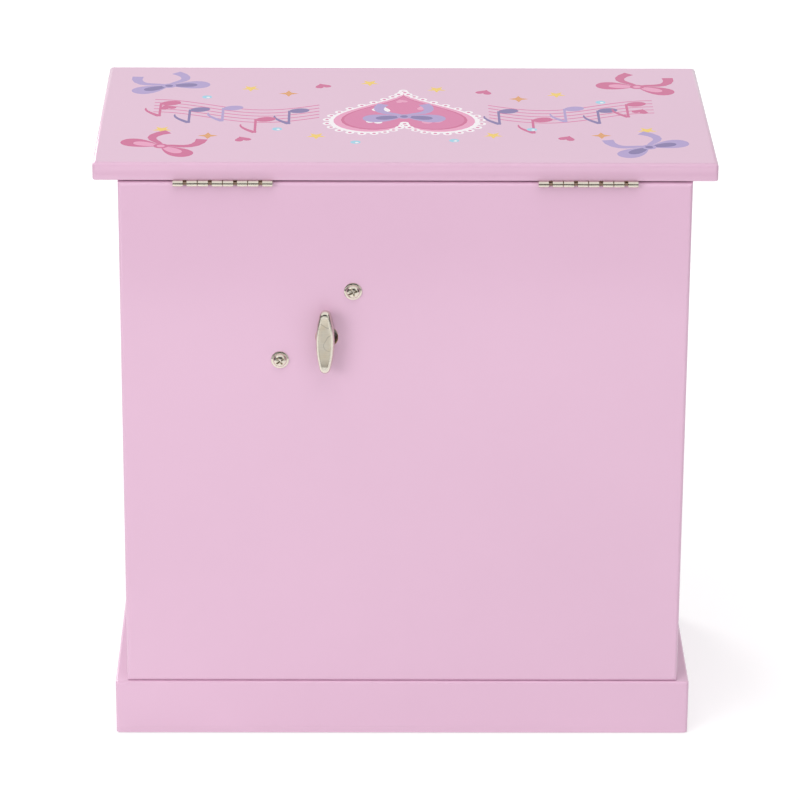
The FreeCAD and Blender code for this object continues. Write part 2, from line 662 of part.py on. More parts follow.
def build_drawer(name, floor, bay, back):
    """One drawer: front with two knobs, three walls, bottom and felt."""
    base = f"({floor} + drawer_play)"
    base_top = f"({base} + drawer_base)"
    wall_top = f"({floor} + {bay} - wall_drop)"
    side = "(side_inner - drawer_play)"
    front = board(f"{name}_front_board", centred(side), ("front_face", "front_inner"),
                  (base, f"{floor} + {bay} - drawer_play"))
    front = rounded(f"{name}_front_edges", front, "front_round", y="front_face")
    middle = f"{floor} + ({bay}) / 2"
    pairs = [knob(f"{name}_knob_{i}", x, middle)
             for i, x in enumerate(("-knob_spread", "knob_spread"))]
    node(f"{name}_front", cut(f"{name}_front_drilled", front, [tenon for body, tenon in pairs]))
    node(f"{name}_knobs", group(f"{name}_knob_pair", [body for body, tenon in pairs]))
    left = board(f"{name}_left", (f"-{side}", f"-{side} + wall"), ("front_inner", back),
                 (base_top, wall_top))
    right = board(f"{name}_right", (f"{side} - wall", side), ("front_inner", back),
                  (base_top, wall_top))
    rear = board(f"{name}_rear", centred(f"({side} - wall)"), (f"{back} - wall", back),
                 (base_top, wall_top))
    node(f"{name}_walls", group(f"{name}_wall_set", [left, right, rear]))
    node(f"{name}_bottom", board(f"{name}_base", centred(side), ("front_inner", back),
                                 (base, base_top)))
    node(f"{name}_lining", board(f"{name}_felt", centred(f"({side} - wall)"),
                                 ("front_inner", f"{back} - wall"),
                                 (base_top, f"{base_top} + lining")))


def build_lid(lid_screws):
    """Lid board, mirror and its frame."""
    body = doc.addObject("PartDesign::Body", "lid_board")
    sketch = sketch_on(body, "XY_Plane", "lid_outline")
    wide = "lid_width / 2"
    front = "back_face - lid_depth"
    outline(sketch, [(f"-{wide}", front), (wide, front), (wide, "back_face"),
                     (f"-{wide}", "back_face")])
    slab = pad(body, sketch, "lid_slab", "lid_thick")
    edges = body.newObject("PartDesign::Fillet", "lid_edges")
    eased = [i for i, edge in enumerate(slab.Shape.Edges, 1)
             if any(v.Z > value("lid_thick") / 2 for v in edge.Vertexes)]
    edges.Base = (slab, [f"Edge{i}" for i in eased])
    edges.setExpression("Radius", expr("edge_round"))
    place(body, z="lid_under")
    doc.recompute()
    node("lid_panel", cut("lid_screwed", body, [lid_screws]))
    reach = "(side_inner - frame_margin)"
    near = "front_inner + frame_margin"
    far = "back_inner - frame_margin"
    ring = board("frame_block", centred(reach), (near, far), ("lid_under - frame_thick", "lid_under"))
    glass = board("glass", centred(f"({reach} - frame_rim)"),
                  (f"{near} + frame_rim", f"{far} - frame_rim"),
                  ("lid_under - mirror_thick", "lid_under"))
    hole = board("frame_hole", centred(f"({reach} - frame_rim)"),
                 (f"{near} + frame_rim", f"{far} - frame_rim"),
                 ("lid_under - frame_thick - over", "lid_under + over"))
    node("mirror_frame", cut("frame_ring", ring, [hole]))
    node("lid_mirror", glass)


def pan_screw(name, x, z):
    """A pan-head screw with a cross recess, head outside the back panel."""
    body = turned(name, [("0", "-(panel + bed_thick)"), ("screw_shank", "-(panel + bed_thick)"),
                         ("screw_shank", "0"), ("screw_head", "0"), ("screw_head", "screw_dome * 0.35"),
                         ("screw_head * 0.9", "screw_dome * 0.66"),
                         ("screw_head * 0.68", "screw_dome * 0.88"),
                         ("screw_head * 0.35", "screw_dome"), ("0", "screw_dome")])
    for i, (across, along) in enumerate((("screw_slot / 2", "screw_head * 0.55"),
                                         ("screw_head * 0.55", "screw_slot / 2"))):
        sketch = sketch_on(body, "XY_Plane", f"{name}_slot_{i}", "screw_dome")
        outline(sketch, [(f"-({across})", f"-({along})"), (across, f"-({along})"),
                         (across, along), (f"-({across})", along)])
        pocket(body, sketch, f"{name}_cut_{i}", "screw_dome * 0.6")
    return place(body, x, "back_face", z, TO_BACK)


def build_key():
    """Winding key and its arbor, on the key axis behind the back panel."""
    body = doc.addObject("PartDesign::Body", "key")
    hub = sketch_on(body, "XY_Plane", "key_hub_sketch", "key_clear")
    circle(hub, "key_hub")
    pad(body, hub, "key_hub_pad", "key_boss")
    neck = sketch_on(body, "XY_Plane", "key_neck_sketch", "key_clear + key_boss * 0.75")
    lens(neck, "key_hub * 2.9", "key_hub * 1.9", "key_tip")
    grip = sketch_on(body, "XY_Plane", "key_grip_sketch", "key_reach - key_grip")
    lens(grip, "key_length", "key_width", "key_tip")
    loft = body.newObject("PartDesign::AdditiveLoft", "key_neck")
    loft.Profile = neck
    loft.Sections = [grip]
    loft.Ruled = True
    doc.recompute()
    face = sketch_on(body, "XY_Plane", "key_face_sketch", "key_reach - key_grip")
    lens(face, "key_length", "key_width", "key_tip")
    pad(body, face, "key_face", "key_grip")
    dish = sketch_on(body, "XY_Plane", "key_dish_sketch", "key_reach")
    lens(dish, "key_length - 2 * key_end", "key_width - 2 * key_rim", "key_tip * 1.2")
    pocket(body, dish, "key_dish_cut", "key_dish")
    bore = sketch_on(body, "XY_Plane", "key_bore_sketch", "key_clear")
    circle(bore, "arbor_radius + running")
    pocket(body, bore, "key_bore", "key_socket", backward=True)
    node("wind_key", place(body, "key_x", "back_face", "key_z", TO_BACK))
    node("winding_arbor", rod("arbor", "arbor_radius",
                              "back_face + key_clear + key_socket - 2 * running - wheel_front",
                              "key_x", "wheel_front", "key_z", TO_BACK))


def build_housing():
    """Movement plate, fixed spring housing, mainspring and mounting screws."""
    plate = board("bed_plate", ("key_x - bed_left", "key_x + bed_right"), ("bed_front", "back_inner"),
                  ("bed_low", "key_z + bed_top"))
    post = board("comb_post", ("key_x - bed_left + post_inset",
                               "key_x - bed_left + post_inset + post_width"),
                 ("spindle_y + comb_thick / 2", "bed_front"),
                 ("key_z - drum_length / 2 - post_spare", "key_z + drum_length / 2 + post_spare"))
    foot = board("spindle_foot", ("key_x - foot_half", "key_x + foot_half"),
                 ("spindle_y - foot_half", "bed_front"), ("bed_low", "bed_low + foot_thick"))
    casting = joined("bed_casting", [plate, post, foot])
    holes = [rod("bed_arbor_hole", "arbor_radius + running", "bed_thick + 2 * over", "key_x",
                 "bed_front - over", "key_z", TO_BACK),
             rod("bed_worm_hole", "worm_shaft + running", "bed_thick + 2 * over", "worm_x",
                 "bed_front - over", "worm_z", TO_BACK),
             rod("foot_spindle_hole", "spindle_radius + running", "foot_thick + 2 * over", "key_x",
                 "spindle_y", "bed_low - over")]
    for i, (x, z) in enumerate(movement_spots()):
        holes.append(rod(f"bed_screw_hole_{i}", "screw_shank + running", "bed_thick + 2 * over", x,
                         "bed_front - over", z, TO_BACK))
    for i, (x, z) in enumerate(comb_screw_spots()):
        holes.append(rod(f"comb_hole_{i}", "comb_screw + running", "comb_screw_length + 2 * over", x,
                         "spindle_y - comb_thick / 2 - over", z, TO_BACK))
    node("movement_bedplate", cut("bed_drilled", casting, holes))
    node("movement_screws", group("mount_screws", [pan_screw(f"mount_screw_{i}", x, z)
                                                   for i, (x, z) in enumerate(movement_spots())]))
    cup = turned("housing", [("arbor_radius + arbor_clear", "0"), ("housing_radius", "0"),
                             ("housing_radius", "housing_depth"),
                             ("housing_radius - housing_wall", "housing_depth"),
                             ("housing_radius - housing_wall", "housing_wall"),
                             ("arbor_radius + arbor_clear", "housing_wall")])
    node("spring_housing", place(cup, "key_x", "housing_front", "key_z", TO_BACK))
    spring = doc.addObject("Part::Feature", "ribbon_spiral")
    spring.Shape = ribbon_spiral(value("ribbon_inner"), value("ribbon_pitch"), value("ribbon"),
                                 int(value("ribbon_turns")), value("housing_depth - 2 * housing_wall"))
    node("mainspring", place(spring, "key_x", "housing_front + 1.5 * housing_wall", "key_z", TO_BACK))


def ribbon_spiral(inner, pitch, thick, turns, height):
    """A flat ribbon wound in half circles whose centres step from side to side."""
    shift = pitch / 2
    edges = []
    for layer in (0, thick):
        for half in range(2 * turns):
            sign = 1 if half % 2 == 0 else -1
            centre = 0 if half % 2 == 0 else shift
            radius = inner + half * shift + layer
            edges.append(Part.Arc(Vector(centre + sign * radius, 0, 0),
                                  Vector(centre, sign * radius, 0),
                                  Vector(centre - sign * radius, 0, 0)).toShape())
    outer = inner + 2 * turns * shift
    for start in (inner, outer):
        edges.append(Part.makeLine(Vector(start, 0, 0), Vector(start + thick, 0, 0)))
    wire = Part.Wire(Part.__sortEdges__(edges))
    return Part.Face(wire).extrude(Vector(0, 0, height))


def build_wheels():
    """Crown wheel on the key axis, and the pinion that it turns."""
    body = doc.addObject("PartDesign::Body", "crown")
    disc = sketch_on(body, "XY_Plane", "crown_disc_sketch")
    circle(disc, "crown_radius + crown_face / 2 + crown_rim")
    pad(body, disc, "crown_disc", "wheel_disc")
    half = "tooth_width / 2"
    tooth = sketch_on(body, "XZ_Plane", "crown_tooth_sketch", "-(crown_radius - crown_face / 2)")
    low, high = "wheel_disc - tooth_root", "wheel_disc + dedendum + addendum"
    root = f"({half} + (dedendum + tooth_root) * crown_slope)"
    tip = f"({half} - addendum * crown_slope)"
    outline(tooth, [(f"-{root}", low), (root, low), (tip, high), (f"-{tip}", high)])
    first = pad(body, tooth, "crown_tooth", "crown_face", backward=True)
    round_pattern(body, first, "crown_teeth", "wheel_teeth")
    bore = sketch_on(body, "XY_Plane", "crown_bore_sketch")
    circle(bore, "arbor_radius")
    pocket(body, bore, "crown_bore", "wheel_disc", backward=True)
    node("great_wheel", place(body, "key_x", "wheel_back", "key_z", TO_FRONT))
    pinion = spur("pinion", "pinion_radius", "dedendum", "addendum", half, "pinion_face",
                  "pinion_teeth")
    turn = Rotation(Vector(0, 0, 1), 180 / value("pinion_teeth"))
    node("drive_pinion", place(pinion, "key_x", "spindle_y", "key_z + crown_radius - pinion_face / 2",
                               turn))


def spur(name, radius, below, above, half, face, count):
    """A toothed wheel with its first tooth toward +Y, bored for the spindle."""
    body = doc.addObject("PartDesign::Body", name)
    disc = sketch_on(body, "XY_Plane", f"{name}_disc_sketch")
    circle(disc, f"{radius} - {below}")
    pad(body, disc, f"{name}_disc", face)
    tooth = sketch_on(body, "XY_Plane", f"{name}_tooth_sketch")
    root = f"({half} + {below} * spur_root_slope)"
    tip = f"({half} - {above} * spur_tip_slope)"
    low, high = f"{radius} - {below} - tooth_root", f"{radius} + {above}"
    outline(tooth, [(f"-{root}", low), (root, low), (half, radius), (tip, high),
                    (f"-{tip}", high), (f"-{half}", radius)])
    first = pad(body, tooth, f"{name}_tooth", face)
    round_pattern(body, first, f"{name}_teeth", count)
    bore = sketch_on(body, "XY_Plane", f"{name}_bore_sketch")
    circle(bore, "spindle_radius + running")
    pocket(body, bore, f"{name}_bore", face, backward=True)
    return body


def build_spindle():
    """Upright spindle with its flange, the pinned drum and the worm wheel."""
    foot = "bed_low + foot_gap"
    shaft = turned("spindle", [("0", foot), ("spindle_radius", foot), ("spindle_radius", "flange_z"),
                               ("flange_radius", "flange_z"), ("flange_radius", "coil_z"),
                               ("spindle_radius * 0.7", "coil_z"),
                               ("spindle_radius * 0.7", "coil_z + spring_peg"),
                               ("0", "coil_z + spring_peg")])
    node("drive_spindle", place(shaft, "key_x", "spindle_y"))
    radius, length = value("drum_radius"), value("drum_length")
    notes, size = int(value("comb_notes")), value("pin_size")
    barrel = Part.makeCylinder(radius, length).cut(Part.makeCylinder(value("spindle_radius"), length))
    pins = []
    root = value("pin_root")
    for i in range(int(value("pins_per_note")) * notes):
        angle = math.radians(GOLDEN_ANGLE * i)
        out = Vector(math.cos(angle), math.sin(angle), 0)
        level = (i % notes + 0.5) * length / notes
        pins.append(Part.makeCylinder(size, value("pin_height") + root,
                                      out * (radius - root) + Vector(0, 0, level), out))
    drum = doc.addObject("Part::Feature", "drum")
    drum.Shape = barrel.fuse(pins).removeSplitter()
    node("pinned_drum", place(drum, "key_x", "spindle_y", "key_z - drum_length / 2"))
    wheel = spur("worm_gear", "worm_wheel_radius", "worm_dedendum", "worm_addendum",
                 "worm_tooth / 2", "worm_face", "worm_teeth")
    node("worm_wheel", place(wheel, "key_x", "spindle_y", "worm_z - worm_face / 2",
                             Rotation(Vector(0, 0, 1), -90)))


def comb_screw_spots():
    """Where the comb screws go, as (x, z) expressions."""
    return tuple(("key_x - bed_left + post_inset + post_width / 2", f"key_z + {side} * drum_length * 0.3")
                 for side in (-1, 1))


def build_comb():
    """Tone comb beside the drum, with its two screws."""
    body = doc.addObject("PartDesign::Body", "comb")
    edge = "key_x - bed_left + post_inset"
    tips = "key_x - drum_radius - pin_height - comb_gap"
    half = "(drum_length / 2)"
    plate = sketch_on(body, "XZ_Plane", "comb_sketch", "-(spindle_y + comb_thick / 2)")
    outline(plate, [(edge, f"key_z - {half}"), (tips, f"key_z - {half}"), (tips, f"key_z + {half}"),
                    (edge, f"key_z + {half}")])
    pad(body, plate, "comb_plate", "comb_thick")
    step = "(drum_length / comb_notes)"
    slot = sketch_on(body, "XZ_Plane", "comb_slot_sketch", "-(spindle_y + comb_thick / 2)")
    low = f"(key_z - {half} + {step} - comb_slot / 2)"
    outline(slot, [(f"{tips} - comb_tooth", low), (f"{tips} + over", low),
                   (f"{tips} + over", f"{low} + comb_slot"),
                   (f"{tips} - comb_tooth", f"{low} + comb_slot")])
    first = pocket(body, slot, "comb_slot_cut", "comb_thick", backward=True)
    row = body.newObject("PartDesign::LinearPattern", "comb_slots")
    row.Originals = [first]
    row.Direction = (slot, ["V_Axis"])
    row.setExpression("Length", expr(f"{step} * (comb_notes - 2)"))
    row.setExpression("Occurrences", expr("comb_notes - 1"))
    body.Tip = row
    doc.recompute()
    face = "spindle_y - comb_thick / 2"
    holes = [rod(f"comb_screw_hole_{i}", "comb_screw + running", "comb_thick + 2 * over", x,
                 f"{face} - over", z, TO_BACK) for i, (x, z) in enumerate(comb_screw_spots())]
    node("tone_comb", cut("comb_drilled", body, holes))
    screws = []
    for i, (x, z) in enumerate(comb_screw_spots()):
        shank = rod(f"comb_screw_{i}_shank", "comb_screw", "comb_screw_length", x, face, z, TO_BACK)
        head = rod(f"comb_screw_{i}_head", "comb_head", "comb_head_thick", x, face, z, TO_FRONT)
        screws.append(joined(f"comb_screw_{i}", [shank, head]))
    node("comb_screws", group("comb_screw_pair", screws))


def build_governor():
    """Worm and fan on one shaft, the bracket that holds it, and the stop wire."""
    middle = "(spindle_y - fan_y)"
    core, crest = "worm_radius - worm_dedendum", "worm_radius + worm_addendum"
    end = "bed_front + bed_thick / 2 - fan_y"
    body = turned("worm", [("0", "0"), ("worm_shaft", "0"),
                           ("worm_shaft", f"{middle} - worm_half - worm_cone"),
                           (core, f"{middle} - worm_half"), (core, f"{middle} + worm_half"),
                           ("worm_shaft", f"{middle} + worm_half + worm_cone"),
                           ("worm_shaft", end), ("0", end)])
    start = f"({middle} - worm_turns / 2 * worm_pitch)"
    half, tip = "worm_tooth / 2", "(worm_tooth / 2 - worm_addendum * worm_tip_slope)"
    root = "(worm_tooth / 2 + worm_dedendum * worm_root_slope)"
    profile = sketch_on(body, "XZ_Plane", "thread_sketch")
    outline(profile, [(f"{core} - tooth_root", f"{start} - {root}"), ("worm_radius", f"{start} - {half}"),
                      (crest, f"{start} - {tip}"), (crest, f"{start} + {tip}"),
                      ("worm_radius", f"{start} + {half}"), (f"{core} - tooth_root", f"{start} + {root}")])
    thread = body.newObject("PartDesign::AdditiveHelix", "thread")
    thread.Profile = profile
    thread.ReferenceAxis = (profile, ["V_Axis"])
    thread.Mode = 0
    thread.setExpression("Pitch", expr("worm_pitch"))
    thread.setExpression("Height", expr("worm_turns * worm_pitch"))
    doc.recompute()
    node("governor_worm", place(body, "worm_x", "fan_y", "worm_z", TO_BACK))
    hub = rod("hub", "worm_shaft + fan_hub", "fan_depth", "worm_x", "fan_y", "worm_z", TO_BACK)
    vane = board("vane", ("worm_x - fan_radius", "worm_x + fan_radius"), ("fan_y", "fan_y + fan_depth"),
                 ("worm_z - fan_vane / 2", "worm_z + fan_vane / 2"))
    bore = rod("fan_bore", "worm_shaft", "fan_depth + 2 * over", "worm_x", "fan_y - over", "worm_z",
               TO_BACK)
    node("governor_fan", cut("fan", joined("fan_solid", [hub, vane]), [bore]))
    side = ("worm_z - bracket_half", "worm_z + bracket_half")
    far = "worm_x + bracket_reach"
    front = board("bracket_front", ("worm_x - bracket_lip", far),
                  ("bracket_y", "bracket_y + bracket_thick"), side)
    arm = board("bracket_arm", (f"{far} - bracket_thick", far), ("bracket_y", "bed_front"), side)
    eye = rod("bracket_eye", "worm_shaft + running", "bracket_thick + 2 * over", "worm_x",
              "bracket_y - over", "worm_z", TO_BACK)
    node("governor_bracket", cut("bracket", joined("bracket_solid", [front, arm]), [eye]))
    middle = "fan_y + fan_depth / 2"
    upright = rod("stop_upright", "stop_radius", "lid_under - stop_top - stop_low",
                  "stop_x", "stop_y", "stop_low")
    along = rod("stop_along", "stop_radius", f"stop_y - ({middle})", "stop_x", middle, "stop_low",
                TO_BACK)
    across = rod("stop_across", "stop_radius", "stop_x - worm_x", "worm_x", middle, "stop_low",
                 TO_RIGHT)
    elbows = [ball("stop_elbow_low", "stop_radius", "stop_x", "stop_y", "stop_low"),
              ball("stop_elbow_front", "stop_radius", "stop_x", middle, "stop_low")]
    node("stop_wire", joined("wire", [upright, along, across] + elbows))


def biarc(start, start_way, end, end_way):
    """Two circular arcs in space from one point and direction to another."""
    chord = end - start
    both = start_way + end_way
    spread = 2 * (1 - start_way.dot(end_way))
    lean = chord.dot(both)
    reach = (math.sqrt(lean ** 2 + spread * chord.dot(chord)) - lean) / spread
    middle = (start + end + (start_way - end_way) * reach) * 0.5

    def arc(a, way, b):
        across = b - a
        length = across.Length
        unit = across / length
        side = way - unit * way.dot(unit)
        lift = length / 2 * math.tan(math.acos(min(1, way.dot(unit))) / 2)
        return Part.Arc(a, (a + b) * 0.5 + side.normalize() * lift, b).toShape()
    back = arc(end, end_way * -1, middle)
    return [arc(start, start_way, middle), back]


def coil_spring():
    """The dancer's coil spring: one unbroken wire, with its least gap printed."""
    radius, wire = value("coil_radius"), value("coil_wire")
    pitch, turns = value("coil_pitch"), int(value("coil_turns"))
    rise = pitch / (2 * math.pi)

    def at(angle):
        return Vector(radius * math.cos(angle), radius * math.sin(angle), wire + rise * angle)

    def way(angle):
        return Vector(-radius * math.sin(angle), radius * math.cos(angle), rise).normalize()
    edges = []
    quarter = math.pi / 2
    for k in range(4 * turns):
        a, b = k * quarter, (k + 1) * quarter
        edges += biarc(at(a), way(a), at(b), way(b))
    path = Part.Wire(Part.__sortEdges__(edges))
    section = Part.Wire(Part.makeCircle(wire, at(0), way(0)))
    points = [at(i * math.pi / 24) for i in range(48 * turns + 1)]
    gap = min((p - q).Length for i, p in enumerate(points) for q in points[i + 24:]) - 2 * wire
    print(f"dancer_spring least gap to itself {gap:.3f} mm")
    return path.makePipeShell([section], True, False)


def skirt(radius, folds, waist, drop):
    """A flared skirt whose hem waves up and down and in and out in even folds."""
    hem, band = [], []
    for i in range(2 * folds):
        angle = math.pi * i / folds
        out = radius if i % 2 == 0 else radius * 0.86
        level = 0 if i % 2 == 0 else drop * 0.35
        hem.append(Vector(out * math.cos(angle), out * math.sin(angle), level))
        band.append(Vector(waist * math.cos(angle), waist * math.sin(angle), drop))
    faces = []
    count = len(hem)
    middle = Vector(0, 0, drop * 0.45)
    for i in range(count):
        j = (i + 1) % count
        for corners in ((hem[i], hem[j], band[j]), (hem[i], band[j], band[i]),
                        (hem[j], hem[i], middle), (band[i], band[j], Vector(0, 0, drop))):
            faces.append(Part.Face(Part.makePolygon(list(corners) + [corners[0]])))
    return Part.Solid(Part.Shell(faces))


def build_dancer():
    """Coil spring, figure and skirt on top of the spindle."""
    spring = doc.addObject("Part::Feature", "coil")
    spring.Shape = coil_spring()
    node("dancer_spring", place(spring, "key_x", "spindle_y", "coil_z"))
    unit = "figure_height / 100"
    profile = [(0, 0), (9, 0), (9, 2.5), (3, 4), (3.6, 12), (5, 24), (6.4, 40), (7.6, 46), (5.4, 53),
               (7.4, 62), (5.6, 67), (2.6, 69), (2.6, 72), (0, 72)]
    body = turned("figure_body", [(f"{r} * {unit}", f"{z} * {unit}") for r, z in profile])
    place(body, "key_x", "spindle_y", "figure_z")
    head = ball("figure_head", f"7.6 * {unit}", "key_x", "spindle_y", f"figure_z + 78 * {unit}")
    bun = ball("figure_bun", f"4 * {unit}", "key_x", f"spindle_y + 5.5 * {unit}",
               f"figure_z + 85 * {unit}")
    arms = doc.addObject("Part::Torus", "figure_arms")
    arms.setExpression("Radius1", expr(f"17.6 * {unit}"))
    arms.setExpression("Radius2", expr(f"2.2 * {unit}"))
    place(arms, "key_x", "spindle_y", f"figure_z + 80.2 * {unit}", TO_FRONT)
    node("dancer_figure", joined("figure", [body, head, bun, arms]))
    cloth = doc.addObject("Part::Feature", "cloth")
    drop = value(f"9 * {unit}")
    solid = skirt(value("skirt_radius"), int(value("skirt_folds")), value(f"6.4 * {unit}"), drop)
    doc.recompute()
    core = body.Shape.copy()
    core.translate(Vector(-value("key_x"), -value("spindle_y"), -value(f"figure_z + 41 * {unit}")))
    cloth.Shape = solid.cut(core)
    node("dancer_skirt", place(cloth, "key_x", "spindle_y", f"figure_z + 41 * {unit}"))


def build_all():
    """Every piece, then the drawers from the bottom up."""
    build_plinth()
    lid_screws, case_screws = build_hinges()
    build_case(case_screws)
    build_tray()
    build_lid(lid_screws)
    behind = "back_inner - drawer_clear"
    build_drawer("bottom_drawer", "case_floor", "lower_bay", behind)
    build_drawer("middle_drawer", "(case_floor + lower_bay + shelf_thick)", "lower_bay", behind)
    build_drawer("top_drawer", "(tray_under - upper_bay)", "upper_bay",
                 "partition_front - drawer_clear")
    build_key()
    build_housing()
    build_wheels()
    build_spindle()
    build_comb()
    build_governor()
    build_dancer()


build_all()
doc.recompute()
for thing in doc.Objects:
    if {"Invalid", "Error"} & set(thing.State):
        raise RuntimeError(f"{thing.Name} did not rebuild")
os.makedirs("parts", exist_ok=True)
for label, thing in nodes.items():
    shape = thing.Shape
    if shape.isNull() or not shape.isValid() or not shape.Solids:
        raise RuntimeError(f"{label} has no sound solid")
    shape.exportStep(f"parts/{label}.step")
    print(f"{label}: {len(shape.Solids)} solid(s), {shape.Volume:.1f} mm3")
print(f"{len(nodes)} nodes")
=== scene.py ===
import logging
import math
from dataclasses import dataclass, field
from enum import Enum
from functools import cache
from typing import Iterable, Sequence

import bmesh
import bpy
from mathutils import Matrix, Vector, noise
from mathutils.geometry import delaunay_2d_cdt


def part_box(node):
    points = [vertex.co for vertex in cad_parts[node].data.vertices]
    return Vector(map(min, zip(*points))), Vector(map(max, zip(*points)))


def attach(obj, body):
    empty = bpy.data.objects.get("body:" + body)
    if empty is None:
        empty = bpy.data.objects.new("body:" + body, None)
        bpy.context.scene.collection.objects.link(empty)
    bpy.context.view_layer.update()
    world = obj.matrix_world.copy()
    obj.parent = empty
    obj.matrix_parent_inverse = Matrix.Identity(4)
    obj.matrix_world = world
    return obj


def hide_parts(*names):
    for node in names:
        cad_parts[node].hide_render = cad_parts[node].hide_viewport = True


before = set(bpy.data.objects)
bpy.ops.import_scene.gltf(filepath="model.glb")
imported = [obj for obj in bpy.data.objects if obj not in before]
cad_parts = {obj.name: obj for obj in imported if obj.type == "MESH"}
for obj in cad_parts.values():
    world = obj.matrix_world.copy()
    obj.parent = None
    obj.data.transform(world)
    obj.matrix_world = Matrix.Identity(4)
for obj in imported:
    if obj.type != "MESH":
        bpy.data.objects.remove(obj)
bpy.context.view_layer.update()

# Looks of the musical jewellery box: finishes for the boards and the movement, the printed lid,
# soft linings and ring rolls, the dancer, and a plain studio. Shapes are worked out in
# millimetres, shader values and the studio in metres.

LOG = logging.getLogger("jewellery_box")
MM = 0.001
Rgb = tuple[float, float, float]
Flat = tuple[float, float]
Spot = tuple[float, float, float]
Rows = tuple[tuple[float, ...], ...]
Socket = bpy.types.NodeSocket
Node = bpy.types.Node
Tree = bpy.types.NodeTree
Piece = bpy.types.Object

THINNEST = 1e-4
NEAR = 1e-4

TO_BACK = Matrix.Rotation(math.radians(-90), 4, "X")
TO_FRONT = Matrix.Rotation(math.radians(90), 4, "X")


def srgb(red: int, green: int, blue: int) -> Rgb:
    """Turn a screen colour into the linear colour that a shader needs.

    Args:
        red: red from 0 to 255.
        green: green from 0 to 255.
        blue: blue from 0 to 255.

    Returns:
        The linear colour.
    """
    shares = (red / 255, green / 255, blue / 255)
    return tuple(s / 12.92 if s <= 0.04045 else ((s + 0.055) / 1.055) ** 2.4 for s in shares)


def tint(colour: Rgb, factor: float) -> tuple[float, float, float, float]:
    """A colour made lighter or darker, with an alpha of one for a socket."""
    return (*(min(1.0, channel * factor) for channel in colour), 1.0)


def corners(node: str) -> tuple[Vector, Vector]:
    """The lowest and highest corner of a frame piece, in millimetres."""
    low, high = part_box(node)
    return low / MM, high / MM


def middle(node: str) -> Vector:
    """The centre of a frame piece's box, in millimetres."""
    low, high = corners(node)
    return (low + high) / 2


class Kit:
    """Short ways to add and link nodes in one shader tree."""

    def __init__(self, tree: Tree) -> None:
        """Keep the tree that the nodes go into."""
        self.tree = tree

    def feed(self, socket: Socket, source: object) -> None:
        """Link a socket to another one, or give it a value.

        Args:
            socket: the input to fill.
            source: another socket or a plain value.
        """
        if isinstance(source, Socket):
            self.tree.links.new(source, socket)
        else:
            socket.default_value = source

    def add(self, kind: str, settings: dict[str, object] | None = None, **sockets: object) -> Node:
        """Add a node.

        Args:
            kind: the node's type without its common first words.
            settings: properties of the node.
            sockets: values or sources of its inputs, with underscores for spaces.

        Returns:
            The new node.
        """
        made = self.tree.nodes.new(f"ShaderNode{kind}")
        for name, choice in (settings or {}).items():
            setattr(made, name, choice)
        for name, source in sockets.items():
            self.feed(made.inputs[name.replace("_", " ")], source)
        return made

    def group(self, tree: Tree, **sockets: object) -> Node:
        """Place a shared effect with its own values."""
        return self.add("Group", {"node_tree": tree}, **sockets)

    def math(self, operation: str, first: object, second: object = 0.0) -> Socket:
        """The result of one sum on two values.

        Args:
            operation: what is done with them.
            first: a value or socket.
            second: another, where the sum has two.

        Returns:
            The result.
        """
        made = self.add("Math", {"operation": operation})
        self.feed(made.inputs[0], first)
        self.feed(made.inputs[1], second)
        return made.outputs[0]

    def mix(self, share: object, first: object, second: object) -> Socket:
        """A colour between two others.

        Args:
            share: how much of the second one.
            first: a colour or socket.
            second: another.

        Returns:
            The mixed colour.
        """
        made = self.add("Mix", {"data_type": "RGBA"})
        for index, source in ((0, share), (6, first), (7, second)):
            self.feed(made.inputs[index], source)
        return made.outputs[2]

    def remap(self, source: object, old: Flat, new: Flat) -> Socket:
        """A value moved from one range into another, held inside it."""
        made = self.add("MapRange", Value=source, From_Min=old[0], From_Max=old[1],
                        To_Min=new[0], To_Max=new[1])
        return made.outputs["Result"]

    def noise(self, scale: object, stretch: Spot = (1, 1, 1), detail: float = 2.0) -> Socket:
        """Soft noise that stays with the piece, finer or longer along each axis.

        Args:
            scale: patches to the metre.
            stretch: factor of the scale along each axis.
            detail: how many finer layers are added.

        Returns:
            A value about a half.
        """
        place = self.add("TexCoord")
        mapping = self.add("Mapping", Vector=place.outputs["Object"], Scale=tuple(stretch))
        return self.add("TexNoise", Vector=mapping.outputs[0], Scale=scale, Detail=detail).outputs[0]

    def bump(self, height: object, distance: float) -> Socket:
        """A normal bent by a height map whose full height is a distance in metres."""
        return self.add("Bump", Height=height, Distance=distance, Strength=1.0).outputs[0]


class Effect(Kit):
    """A shared effect: a node group with named inputs and outputs."""

    def __init__(self, name: str, inputs: dict[str, float], outputs: dict[str, str]) -> None:
        """Make the group with its sockets, still empty.

        Args:
            name: name of the node group.
            inputs: number inputs with their usual values.
            outputs: outputs with their socket types.
        """
        super().__init__(bpy.data.node_groups.new(name, "ShaderNodeTree"))
        face = self.tree.interface
        for label, number in inputs.items():
            socket = face.new_socket(name=label, in_out="INPUT", socket_type="NodeSocketFloat")
            socket.default_value = number
        for label, kind in outputs.items():
            face.new_socket(name=label, in_out="OUTPUT", socket_type=f"NodeSocket{kind}")
        self.given = self.tree.nodes.new("NodeGroupInput").outputs
        self.result = self.tree.nodes.new("NodeGroupOutput").inputs

    def blend(self, first: Socket, second: Socket, share: float) -> Socket:
        """The sum of two values, the first one weighed by a share and the second by the rest."""
        rest = self.math("MULTIPLY", second, 1 - share)
        return self.math("ADD", self.math("MULTIPLY", first, share), rest)


